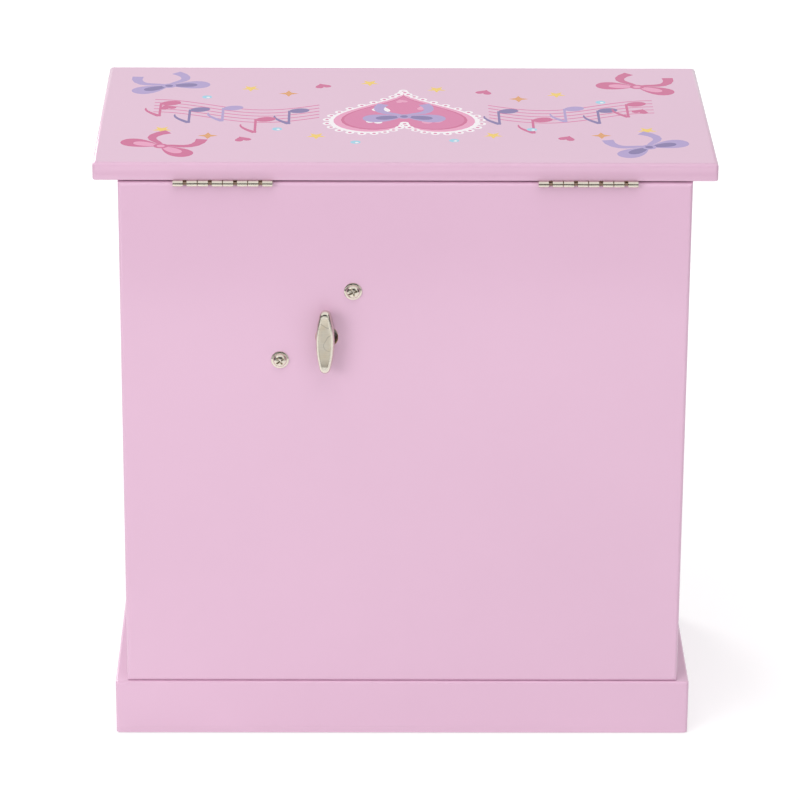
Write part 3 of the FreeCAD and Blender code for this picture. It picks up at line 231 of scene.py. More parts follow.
@cache
def sprayed_lacquer() -> Tree:
    """Orange peel, faint level streaks and slow colour drift of sprayed paint.

    Returns:
        The effect, with Height and Drift.
    """
    kit = Effect("sprayed_lacquer", {"Scale": 320.0}, {"Height": "Float", "Drift": "Float"})
    peel = kit.noise(kit.given["Scale"])
    streak = kit.noise(kit.given["Scale"], (0.05, 0.05, 0.8), 3.0)
    kit.feed(kit.result["Height"], kit.blend(peel, streak, 0.55))
    kit.feed(kit.result["Drift"], kit.noise(11.0, detail=3.0))
    return kit.tree


@cache
def rubbed_edges() -> Tree:
    """A broken mask along the edges that hands rub.

    Returns:
        The effect, with the mask Edge.
    """
    kit = Effect("rubbed_edges", {"Width": 0.0012}, {"Edge": "Float"})
    soft = kit.add("Bevel", {"samples": 4}, Radius=kit.given["Width"])
    facing = kit.add("VectorMath", {"operation": "DOT_PRODUCT"})
    kit.feed(facing.inputs[0], soft.outputs[0])
    kit.feed(facing.inputs[1], kit.add("NewGeometry").outputs["Normal"])
    turned = kit.remap(facing.outputs["Value"], (0.995, 0.8), (0.0, 1.0))
    broken = kit.remap(kit.noise(90.0, detail=4.0), (0.35, 0.6), (0.0, 1.0))
    kit.feed(kit.result["Edge"], kit.math("MULTIPLY", turned, broken))
    return kit.tree


@cache
def handling_marks() -> Tree:
    """Soft patches where a surface has been touched and wiped.

    Returns:
        The effect, with the mask Mark.
    """
    kit = Effect("handling_marks", {"Scale": 20.0}, {"Mark": "Float"})
    patches = kit.noise(kit.given["Scale"], detail=5.0)
    kit.feed(kit.result["Mark"], kit.remap(patches, (0.35, 0.7), (0.0, 1.0)))
    return kit.tree


@cache
def cloth_nap() -> Tree:
    """Short pile: fine fibres with brushed patches.

    Returns:
        The effect, with Shade and Height.
    """
    kit = Effect("cloth_nap", {"Scale": 2600.0}, {"Shade": "Float", "Height": "Float"})
    fibres = kit.noise(kit.given["Scale"], detail=4.0)
    brushed = kit.noise(70.0, (1.0, 0.5, 1.0), 3.0)
    shade = kit.blend(fibres, brushed, 0.5)
    kit.feed(kit.result["Shade"], kit.remap(shade, (0.3, 0.7), (0.0, 1.0)))
    kit.feed(kit.result["Height"], fibres)
    return kit.tree


@cache
def drawn_metal() -> Tree:
    """Fine lines left by brushing or turning, across the piece's height.

    Returns:
        The effect, with the mask Line.
    """
    kit = Effect("drawn_metal", {"Scale": 2500.0}, {"Line": "Float"})
    lines = kit.noise(kit.given["Scale"], (0.06, 1.0, 1.0), 4.0)
    kit.feed(kit.result["Line"], kit.remap(lines, (0.3, 0.7), (0.0, 1.0)))
    return kit.tree


@cache
def fibre_board() -> Tree:
    """Bare pressed board: pale and dark fibres.

    Returns:
        The effect, with Colour and Height.
    """
    kit = Effect("fibre_board", {"Scale": 900.0}, {"Colour": "Color", "Height": "Float"})
    fibres = kit.noise(kit.given["Scale"], (1.0, 0.3, 1.0), 6.0)
    share = kit.remap(fibres, (0.35, 0.65), (0.0, 1.0))
    kit.feed(kit.result["Colour"], kit.mix(share, (0.36, 0.18, 0.07, 1), (0.72, 0.46, 0.22, 1)))
    kit.feed(kit.result["Height"], fibres)
    return kit.tree


@dataclass(frozen=True)
class Finish:
    """A surface with a colour and a roughness; each kind adds its own detail.

    The shading is the darkest and lightest factor of the colour. The marks of handling have a spread
    of roughness and a scale.
    """

    name: str
    colour: Rgb
    roughness: float = 0.4
    shading: Flat = (0.94, 1.05)
    marks: Flat = (0.05, 25.0)

    def make(self) -> bpy.types.Material:
        """The material, built the first time that it is asked for.

        Returns:
            The material.
        """
        title = f"{self.name}_finish"
        made = bpy.data.materials.get(title)
        if made:
            return made
        made = bpy.data.materials.new(title)
        made.use_nodes = True
        made.diffuse_color = (*self.colour, 1.0)
        self.detail(Kit(made.node_tree), made.node_tree.nodes["Principled BSDF"])
        return made

    def detail(self, kit: Kit, shader: Node) -> None:
        """Link the nodes that give this kind its look."""
        raise NotImplementedError

    def shades(self, kit: Kit, share: Socket) -> Socket:
        """The finish's own colour, between its darkest and lightest shade."""
        return kit.mix(share, *(tint(self.colour, factor) for factor in self.shading))

    def gloss(self, kit: Kit, shader: Node, mask: Socket, spread: float) -> None:
        """Let the roughness wander about its value by a spread, where a mask goes from 0 to 1."""
        ends = (self.roughness - spread, self.roughness + spread)
        kit.feed(shader.inputs["Roughness"], kit.remap(mask, (0.0, 1.0), ends))

    def handled(self, kit: Kit, shader: Node) -> None:
        """Let the roughness wander where the surface was handled."""
        touched = kit.group(handling_marks(), Scale=self.marks[1])
        self.gloss(kit, shader, touched.outputs["Mark"], self.marks[0])


@dataclass(frozen=True)
class Paint(Finish):
    """Semi-gloss lacquer sprayed over board, which may carry the print or show a bored hole."""

    shading: Flat = (0.975, 1.025)
    marks: Flat = (0.02, 18.0)
    printed: bool = False
    bored: Spot | None = None
    peel: float = 320.0
    peel_height: float = 0.000005
    rub_width: float = 0.0012
    rub_share: float = 0.3
    rub_tint: float = 1.12
    board: float = 900.0
    ragged: float = 0.00035

    def detail(self, kit: Kit, shader: Node) -> None:
        """Colour drift, pale rubbed edges and orange peel.

        Args:
            kit: node helper of the material.
            shader: its main shader.
        """
        lacquer = kit.group(sprayed_lacquer(), Scale=self.peel)
        edge = kit.group(rubbed_edges(), Width=self.rub_width)
        colour = self.shades(kit, lacquer.outputs["Drift"])
        if self.printed:
            ink = kit.add("Attribute", {"attribute_name": LidPrint.attribute})
            colour = kit.mix(ink.outputs["Alpha"], colour, ink.outputs["Color"])
        pale = kit.math("MULTIPLY", edge.outputs["Edge"], self.rub_share)
        colour = kit.mix(pale, colour, tint(self.colour, self.rub_tint))
        if self.bored:
            bare = kit.group(fibre_board(), Scale=self.board).outputs["Colour"]
            colour = kit.mix(self.hole(kit), colour, bare)
        kit.feed(shader.inputs["Base Color"], colour)
        kit.feed(shader.inputs["Normal"], kit.bump(lacquer.outputs["Height"], self.peel_height))
        self.handled(kit, shader)

    def hole(self, kit: Kit) -> Socket:
        """A mask of the bored hole's wall and its ragged mouth, from its axis and radius in metres.

        Args:
            kit: node helper of the material.

        Returns:
            The mask.
        """
        x, z, radius = self.bored
        spot = kit.add("SeparateXYZ", Vector=kit.add("TexCoord").outputs["Object"])
        across = kit.math("POWER", kit.math("SUBTRACT", spot.outputs["X"], x), 2.0)
        along = kit.math("POWER", kit.math("SUBTRACT", spot.outputs["Z"], z), 2.0)
        away = kit.math("SQRT", kit.math("ADD", across, along))
        chipped = kit.math("MULTIPLY", kit.noise(420.0, detail=3.0), self.ragged)
        return kit.math("LESS_THAN", kit.math("SUBTRACT", away, chipped), radius)


@dataclass(frozen=True)
class Metal(Finish):
    """Plated, turned or cast metal."""

    shading: Flat = (0.9, 1.06)
    lines: float = 2500.0
    spread: float = 0.06
    line_height: float = 0.000004
    cast: bool = False
    stain: Rgb = (0.6, 0.49, 0.32)

    def detail(self, kit: Kit, shader: Node) -> None:
        """Fine tool lines in the colour, the gloss and the surface, and the marks of a rough casting.

        Args:
            kit: node helper of the material.
            shader: its main shader.
        """
        line = kit.group(drawn_metal(), Scale=self.lines).outputs["Line"]
        shader.inputs["Metallic"].default_value = 1.0
        shade = self.shades(kit, line)
        if self.cast:
            shade = self.casting(kit, shade)
        kit.feed(shader.inputs["Base Color"], shade)
        self.gloss(kit, shader, line, self.spread)
        kit.feed(shader.inputs["Normal"], kit.bump(line, self.line_height))

    def casting(self, kit: Kit, shade: Socket) -> Socket:
        """Brown stains and thin creases, as in a rough casting that is only plated.

        Args:
            kit: node helper of the material.
            shade: the clean colour.

        Returns:
            The marked colour.
        """
        brown = kit.remap(kit.noise(240.0, detail=3.0), (0.42, 0.75), (0.0, 0.5))
        stained = kit.mix(brown, shade, tint(self.stain, 1.0))
        away = kit.math("ABSOLUTE", kit.math("SUBTRACT", kit.noise(105.0, detail=1.5), 0.5))
        crease = kit.remap(away, (0.003, 0.013), (0.6, 0.0))
        return kit.mix(crease, stained, tint(self.colour, 0.35))


@dataclass(frozen=True)
class Cloth(Finish):
    """Flocked or felted cloth with a soft sheen."""

    shading: Flat = (0.72, 1.2)
    fibre: float = 2600.0
    sheen: float = 0.7
    pile: float = 0.0002

    def detail(self, kit: Kit, shader: Node) -> None:
        """Brushed shades and a fine pile.

        Args:
            kit: node helper of the material.
            shader: its main shader.
        """
        nap = kit.group(cloth_nap(), Scale=self.fibre)
        shader.inputs["Sheen Weight"].default_value = self.sheen
        shader.inputs["Sheen Roughness"].default_value = 0.4
        shader.inputs["Sheen Tint"].default_value = tint(self.colour, 1.5)
        shader.inputs["Roughness"].default_value = self.roughness
        shader.inputs["Specular IOR Level"].default_value = 0.15
        kit.feed(shader.inputs["Base Color"], self.shades(kit, nap.outputs["Shade"]))
        kit.feed(shader.inputs["Normal"], kit.bump(nap.outputs["Height"], self.pile))


@dataclass(frozen=True)
class BareBoard(Finish):
    """Pressed board left without paint."""

    marks: Flat = (0.05, 30.0)
    fibre: float = 700.0
    fibre_height: float = 0.00006
    own_share: float = 0.55

    def detail(self, kit: Kit, shader: Node) -> None:
        """Pale and dark fibres.

        Args:
            kit: node helper of the material.
            shader: its main shader.
        """
        board = kit.group(fibre_board(), Scale=self.fibre)
        colour = kit.mix(self.own_share, board.outputs["Colour"], tint(self.colour, 1.0))
        kit.feed(shader.inputs["Base Color"], colour)
        kit.feed(shader.inputs["Normal"], kit.bump(board.outputs["Height"], self.fibre_height))
        self.handled(kit, shader)


@dataclass(frozen=True)
class Paper(Finish):
    """Covering paper glued over board."""

    fibre: float = 1400.0
    fibre_height: float = 0.00002

    def detail(self, kit: Kit, shader: Node) -> None:
        """Faint fibres and a dry surface.

        Args:
            kit: node helper of the material.
            shader: its main shader.
        """
        fibres = kit.noise(self.fibre, (0.25, 1.0, 1.0), 4.0)
        kit.feed(shader.inputs["Base Color"], self.shades(kit, fibres))
        kit.feed(shader.inputs["Normal"], kit.bump(fibres, self.fibre_height))
        self.handled(kit, shader)


@dataclass(frozen=True)
class Plastic(Finish):
    """Moulded plastic, plain or painted."""

    shading: Flat = (0.96, 1.04)
    marks: Flat = (0.05, 160.0)
    glow: float = 0.0
    glow_depth: Spot = (0.002, 0.001, 0.0008)

    def detail(self, kit: Kit, shader: Node) -> None:
        """Slow swirls in the colour and a lightly handled gloss.

        Args:
            kit: node helper of the material.
            shader: its main shader.
        """
        swirl = kit.noise(260.0, (1.0, 1.0, 0.5), 3.0)
        kit.feed(shader.inputs["Base Color"], self.shades(kit, swirl))
        shader.inputs["Subsurface Weight"].default_value = self.glow
        shader.inputs["Subsurface Radius"].default_value = self.glow_depth
        self.handled(kit, shader)


@dataclass(frozen=True)
class Silvering(Finish):
    """Mirror glass, silvered behind."""

    shading: Flat = (0.97, 1.02)
    marks: Flat = (0.015, 14.0)

    def detail(self, kit: Kit, shader: Node) -> None:
        """A clear mirror with faint wiping marks.

        Args:
            kit: node helper of the material.
            shader: its main shader.
        """
        shader.inputs["Metallic"].default_value = 1.0
        kit.feed(shader.inputs["Base Color"], self.shades(kit, kit.noise(24.0)))
        self.handled(kit, shader)


@dataclass(frozen=True)
class Net(Finish):
    """Stiff net: threads round open cells."""

    cell: float = 1900.0
    clear: float = 0.42

    def detail(self, kit: Kit, shader: Node) -> None:
        """Threads from cell borders, nearly clear between.

        Args:
            kit: node helper of the material.
            shader: its main shader.
        """
        place = kit.add("TexCoord").outputs["Object"]
        cells = kit.add("TexVoronoi", {"feature": "DISTANCE_TO_EDGE"}, Vector=place, Scale=self.cell)
        kit.feed(shader.inputs["Alpha"], kit.remap(cells.outputs[0], (0.05, 0.16), (1.0, self.clear)))
        kit.feed(shader.inputs["Base Color"], self.shades(kit, kit.noise(300.0)))
        shader.inputs["Roughness"].default_value = self.roughness
        shader.inputs["Sheen Weight"].default_value = 0.3


PINK = srgb(226, 186, 211)
CASE_PAINT = Paint("case_paint", PINK, 0.13)
LID_PAINT = Paint("lid_paint", srgb(222, 181, 206), 0.14, printed=True)
FRONT_PAINT = Paint("front_paint", srgb(227, 184, 210), 0.13)
TRAY_PAPER = Paper("tray_paper", srgb(238, 208, 224), 0.6)
RAW_BOARD = BareBoard("raw_board", (0.5, 0.34, 0.2), 0.75)
VELVET = Cloth("velvet", srgb(214, 120, 165), 0.9)
ROLL_VELVET = Cloth("roll_velvet", srgb(222, 138, 178), 0.9)
BASE_FELT = Cloth("base_felt", srgb(206, 150, 178), 0.95, fibre=1800.0, sheen=0.3)
NICKEL = Metal("nickel", srgb(222, 214, 200), 0.15)
KEY_NICKEL = Metal("key_nickel", srgb(216, 209, 194), 0.36, lines=3200.0, cast=True)
KEY_RIM = Metal("key_rim", srgb(222, 216, 202), 0.14, spread=0.03)
PIN_STEEL = Metal("hinge_pin_steel", srgb(150, 130, 112), 0.38)
ZINC = Metal("zinc", (0.52, 0.53, 0.55), 0.45, lines=900.0)
SPRING_STEEL = Metal("spring_steel", (0.5, 0.51, 0.53), 0.25)
BRASS = Metal("brass", (0.75, 0.55, 0.22), 0.26)
NYLON = Plastic("nylon", (0.86, 0.85, 0.8), 0.42, glow=0.15)
KNOB_PLASTIC = Plastic("knob_plastic", srgb(247, 238, 240), 0.16, glow=0.2)
MIRROR = Silvering("mirror_glass", (0.9, 0.91, 0.92), 0.03)
TULLE = Net("tulle", srgb(250, 214, 230), 0.7)
SKIN = Plastic("dancer_skin", srgb(246, 212, 190), 0.35, glow=0.1)
SATIN = Plastic("dancer_satin", srgb(226, 110, 165), 0.28, shading=(0.92, 1.08))
TIGHTS = Plastic("dancer_tights", srgb(250, 226, 230), 0.4)
HAIR = Plastic("dancer_hair", srgb(120, 78, 48), 0.38, shading=(0.8, 1.2))
FACE_BROWN = Plastic("dancer_brown", srgb(84, 52, 40), 0.4)
FACE_ROSE = Plastic("dancer_rose", srgb(214, 96, 112), 0.35)


@dataclass
class Shape:
    """Points and faces of a mesh that is being put together, in millimetres."""

    verts: list[Vector] = field(default_factory=list)
    faces: list[tuple[int, ...]] = field(default_factory=list)

    def join(self, other: "Shape", matrix: Matrix | None = None) -> "Shape":
        """Add another shape, moved by a matrix, and return this one.

        Args:
            other: the shape to add.
            matrix: how it is moved, if at all.

        Returns:
            This shape.
        """
        start = len(self.verts)
        self.verts += [matrix @ v if matrix else v for v in other.verts]
        self.faces += [tuple(start + i for i in face) for face in other.faces]
        return self


def loft(rings: Sequence[Sequence[Vector]], capped: bool = True, looped: bool = False) -> Shape:
    """Skin a row of rings that have as many points each.

    Args:
        rings: the rings, in order.
        capped: close the first and last ring with a face.
        looped: join the last ring to the first instead.

    Returns:
        The skinned shape.
    """
    count = len(rings[0])
    shape = Shape([Vector(p) for one in rings for p in one])
    steps = len(rings) if looped else len(rings) - 1
    for k in range(steps):
        a, b = k * count, (k + 1) % len(rings) * count
        for i in range(count):
            j = (i + 1) % count
            shape.faces.append((a + i, a + j, b + j, b + i))
    if capped and not looped:
        shape.faces.append(tuple(reversed(range(count))))
        shape.faces.append(tuple(range((len(rings) - 1) * count, len(rings) * count)))
    return shape


def turns(count: int) -> list[float]:
    """Even turns round a circle, in radians."""
    return [2 * math.pi * i / count for i in range(count)]


def oval(centre: Vector, across: float, along: float, count: int = 32) -> list[Vector]:
    """A level ring of points about a centre."""
    return [centre + Vector((across * math.cos(t), along * math.sin(t), 0)) for t in turns(count)]


def lathe(profile: Sequence[Flat], matrix: Matrix, count: int = 48) -> Shape:
    """Turn a profile of (radius, height) points about an axis.

    Args:
        profile: the points, from one end to the other.
        matrix: where the axis stands.
        count: points round the axis.

    Returns:
        The turned shape.
    """
    rings = []
    for radius, height in profile:
        reach = max(radius, THINNEST)
        rings.append(oval(Vector((0, 0, height)), reach, reach, count))
    return Shape().join(loft(rings), matrix)


def smooth_row(points: Sequence[Sequence[float]], steps: int) -> list[Vector]:
    """A smooth row of points, of any number of values each, through the given ones.

    Args:
        points: the given points.
        steps: parts between two of them.

    Returns:
        The row.
    """
    rows = [Vector(p) for p in points]
    ends = [rows[0] * 2 - rows[1], *rows, rows[-1] * 2 - rows[-2]]
    out = []
    for a, b, c, d in zip(ends, ends[1:], ends[2:], ends[3:]):
        for k in range(steps):
            t = k / steps
            out.append(0.5 * (2 * b + (c - a) * t + (2 * a - 5 * b + 4 * c - d) * t ** 2
                              + (3 * b - a - 3 * c + d) * t ** 3))
    return [*out, rows[-1]]


def tube(points: Sequence[Sequence[float]], steps: int = 6, count: int = 16, flat: float = 1.0) -> Shape:
    """A round or flattened tube along smooth points.

    Args:
        points: (x, y, z, radius) along the tube.
        steps: parts between two points.
        count: points round the tube.
        flat: thickness across the tube as a share of its width.

    Returns:
        The closed tube.
    """
    row = smooth_row(points, steps)
    start = row[1] - row[0]
    side = Vector((1, 0, 0)) if abs(start.x) < abs(start.z) else Vector((0, 0, 1))
    rings = []
    for k, spot in enumerate(row):
        way = (row[min(k + 1, len(row) - 1)] - row[max(k - 1, 0)]).to_3d().normalized()
        side = (side - way * side.dot(way)).normalized()
        up = way.cross(side)
        radius = max(spot[3], 1e-3)
        rings.append([spot.to_3d() + side * radius * math.cos(t) + up * radius * flat * math.sin(t)
                      for t in turns(count)])
    return loft(rings)


def rounded_block(low: Vector, high: Vector, radius: float, foot: float,
                  segments: int = 4) -> bmesh.types.BMesh:
    """A board with rounded edges.

    Args:
        low: its lowest corner.
        high: its highest corner.
        radius: rounding of the upper and upright edges.
        foot: rounding of the lower edges.
        segments: facets round an edge.

    Returns:
        An open mesh to work on.
    """
    block = bmesh.new()
    bmesh.ops.create_cube(block, size=1.0)
    size = high - low
    for vertex in block.verts:
        vertex.co = low + Vector((vertex.co[i] + 0.5) * size[i] for i in range(3))
    for lower, reach in ((False, radius), (True, foot)):
        edges = [e for e in block.edges if e.calc_face_angle(0.0) > 0.8
                 and all(v.co.z < low.z + NEAR for v in e.verts) == lower]
        bmesh.ops.bevel(block, geom=edges, offset=reach, segments=segments, profile=0.5,
                        affect="EDGES", clamp_overlap=True)
    block.normal_update()
    return block


def layered_faces(outlines: Sequence[Sequence[Flat]],
                  spots: Sequence[Flat] = ()) -> tuple[list, list, list]:
    """Cut a flat sheet into triangles along outlines laid over one another.

    Args:
        outlines: closed outlines, the sheet's own first, later ones on top.
        spots: further points that the triangles pass through.

    Returns:
        Points, triangles, and for each triangle the number of its topmost outline.
    """
    points = [Vector(p) for p in spots]
    faces = []
    for one in outlines:
        faces.append(list(range(len(points), len(points) + len(one))))
        points += [Vector(p) for p in one]
    verts, _, triangles, _, _, owners = delaunay_2d_cdt(points, [], faces, 1, 1e-5)
    return verts, triangles, [max(one) if one else 0 for one in owners]


@dataclass(frozen=True)
class Ride:
    """Where a piece belongs: the body that carries it, its slot and its finish."""

    body: str
    slot: str
    finish: Finish


def put_in(name: str, data: bpy.types.ID) -> Piece:
    """Put a new object into the scene.

    Args:
        name: its name.
        data: its mesh, light or camera.

    Returns:
        The object.
    """
    made = bpy.data.objects.new(name, data)
    bpy.context.scene.collection.objects.link(made)
    return made


def in_metres(name: str, made: bmesh.types.BMesh) -> bpy.types.Mesh:
    """Turn an editable mesh in millimetres into a mesh in metres.

    Args:
        name: the mesh's name.
        made: the editable mesh, freed afterwards.

    Returns:
        The mesh.
    """
    bmesh.ops.scale(made, vec=(MM, MM, MM), verts=made.verts[:])
    mesh = bpy.data.meshes.new(name)
    made.to_mesh(mesh)
    made.free()
    return mesh


def keep_result(piece: Piece, modifier: bpy.types.Modifier) -> bpy.types.Mesh:
    """Make what a modifier gives the piece's own mesh.

    Args:
        piece: the piece.
        modifier: its modifier, which is taken off.

    Returns:
        The new mesh, shaded smooth.
    """
    evaluated = piece.evaluated_get(bpy.context.evaluated_depsgraph_get())
    shaped = bpy.data.meshes.new_from_object(evaluated)
    piece.modifiers.remove(modifier)
    old, piece.data = piece.data, shaped
    bpy.data.meshes.remove(old)
    shaped.shade_smooth()
    return shaped


def add_mesh(name: str, mesh: bpy.types.Mesh, ride: Ride, replaces: Iterable[str] = (),
             sharp: float = 40.0) -> Piece:
    """Hang a finished mesh on its body.

    Args:
        name: the piece's name.
        mesh: its mesh, in metres.
        ride: body, slot and finish.
        replaces: frame pieces that it stands for.
        sharp: angle in degrees above which an edge stays crisp.

    Returns:
        The piece.
    """
    mesh.shade_smooth()
    mesh.set_sharp_from_angle(angle=math.radians(sharp))
    piece = put_in(name, mesh)
    mesh.materials.append(ride.finish.make())
    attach(piece, ride.body)
    nodes = list(replaces)
    if nodes:
        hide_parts(*nodes)
    LOG.info("%s: %d faces, rides on %s", name, len(mesh.polygons), ride.body)
    return piece


def add_bmesh(name: str, made: bmesh.types.BMesh, ride: Ride, replaces: Iterable[str] = (),
              sharp: float = 40.0) -> Piece:
    """Clean an editable mesh in millimetres and hang it on its body.

    Args:
        name: the piece's name.
        made: the editable mesh, freed afterwards.
        ride: body, slot and finish.
        replaces: frame pieces that it stands for.
        sharp: angle in degrees above which an edge stays crisp.

    Returns:
        The piece.
    """
    bmesh.ops.remove_doubles(made, verts=made.verts[:], dist=2e-4)
    bmesh.ops.recalc_face_normals(made, faces=made.faces[:])
    return add_mesh(name, in_metres(name, made), ride, replaces, sharp)


def add_shape(name: str, shape: Shape, ride: Ride, replaces: Iterable[str] = (),
              sharp: float = 40.0) -> Piece:
    """Hang a shape in millimetres on its body.

    Args:
        name: the piece's name.
        shape: the shape.
        ride: body, slot and finish.
        replaces: frame pieces that it stands for.
        sharp: angle in degrees above which an edge stays crisp.

    Returns:
        The piece.
    """
    mesh = bpy.data.meshes.new(name)
    mesh.from_pydata(shape.verts, [], shape.faces)
    made = bmesh.new()
    made.from_mesh(mesh)
    bpy.data.meshes.remove(mesh)
    return add_bmesh(name, made, ride, replaces, sharp)


def dress(finish: Finish, *nodes: str) -> None:
    """Give frame pieces a finish.

    Args:
        finish: the finish.
        nodes: names of the pieces.
    """
    for name in nodes:
        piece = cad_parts[name]
        if not piece.material_slots:
            piece.data.materials.append(None)
        for slot in piece.material_slots:
            slot.material = finish.make()
        LOG.info("%s dressed in %s", name, finish.name)


def cut_away(piece: Piece, tool: bmesh.types.BMesh) -> None:
    """Take a tool's solid, in millimetres, out of a piece's mesh for good.

    Args:
        piece: the piece to cut.
        tool: the solid, freed afterwards.
    """
    mesh = in_metres("tool", tool)
    helper = put_in("tool", mesh)
    cut = piece.modifiers.new("cut", "BOOLEAN")
    cut.object = helper
    cut.solver = "EXACT"
    keep_result(piece, cut).set_sharp_from_angle(angle=math.radians(30))
    bpy.data.objects.remove(helper)
    bpy.data.meshes.remove(mesh)


def spin(degrees: float) -> Matrix:
    """A turn about an upright axis."""
    return Matrix.Rotation(math.radians(degrees), 4, "Z")


def cut_cross(piece: Piece, places: Sequence[Matrix], size: Flat, span: Flat) -> None:
    """Sink a cross recess, narrower at the bottom, at each place.

    Args:
        piece: the screw or screws.
        places: where each head's axis stands, in millimetres.
        size: half length and width of an arm.
        span: levels of the bottom and the open top.
    """
    for arm in (0.0, 90.0):
        tool = bmesh.new()
        for place in places:
            rings = []
            for share, height in zip((0.45, 1.0), span):
                x, y = size[0] * share, size[1] / 2 * (0.6 + 0.4 * share)
                rings.append([tool.verts.new(place @ spin(arm) @ Vector((sx * x, sy * y, height)))
                              for sx, sy in ((-1, -1), (1, -1), (1, 1), (-1, 1))])
            tool.faces.new(rings[0][::-1])
            tool.faces.new(rings[1])
            for i in range(4):
                j = (i + 1) % 4
                tool.faces.new((rings[0][i], rings[0][j], rings[1][j], rings[1][i]))
        bmesh.ops.recalc_face_normals(tool, faces=tool.faces[:])
        cut_away(piece, tool)


@dataclass
class HingeScrews:
    """The four countersunk cross-head screws of the hinge leaves on one body."""

    node: str
    name: str
    body: str
    reach: float
    flip: float
    spread: float = 73.0
    turn_step: float = 73.0
    head: float = 1.3
    shank: float = 0.7
    cone: float = 0.6
    recess: float = 0.42
    arm: Flat = (0.85, 0.36)
    clear: float = 0.3

    def build(self) -> None:
        """Turn the screws where the frame has them, then sink the crosses."""
        low, high = corners(self.node)
        face = low.z if self.flip else high.z
        length = high.z - low.z
        profile = [(0.0, -length), (self.shank, -length), (self.shank, -self.cone),
                   (self.head, 0.0), (0.0, 0.0)]
        shape = Shape()
        places = []
        row = [side * (self.spread + end * self.reach) for side in (-1, 1) for end in (-1, 1)]
        for k, x in enumerate(row):
            stand = Matrix.Translation((x, (low.y + high.y) / 2, face))
            tipped = Matrix.Rotation(math.radians(self.flip), 4, "X")
            turned = stand @ tipped @ spin(self.turn_step * k)
            shape.join(lathe(profile, turned, 32))
            places.append(turned)
        screws = add_shape(self.name, shape, Ride(self.body, "nickel", NICKEL), [self.node], 30.0)
        cut_cross(screws, places, self.arm, (-self.recess, self.clear))


class Ink(Enum):
    """Colours of the print on the lid."""

    MAGENTA = srgb(200, 58, 128)
    ROSE = srgb(212, 92, 152)
    BLUSH = srgb(230, 142, 184)
    LILAC = srgb(164, 140, 198)
    VIOLET = srgb(104, 80, 152)
    WHITE = srgb(246, 240, 244)
    YELLOW = srgb(238, 196, 60)
    SKY = srgb(140, 204, 226)
    ORANGE = srgb(218, 142, 56)


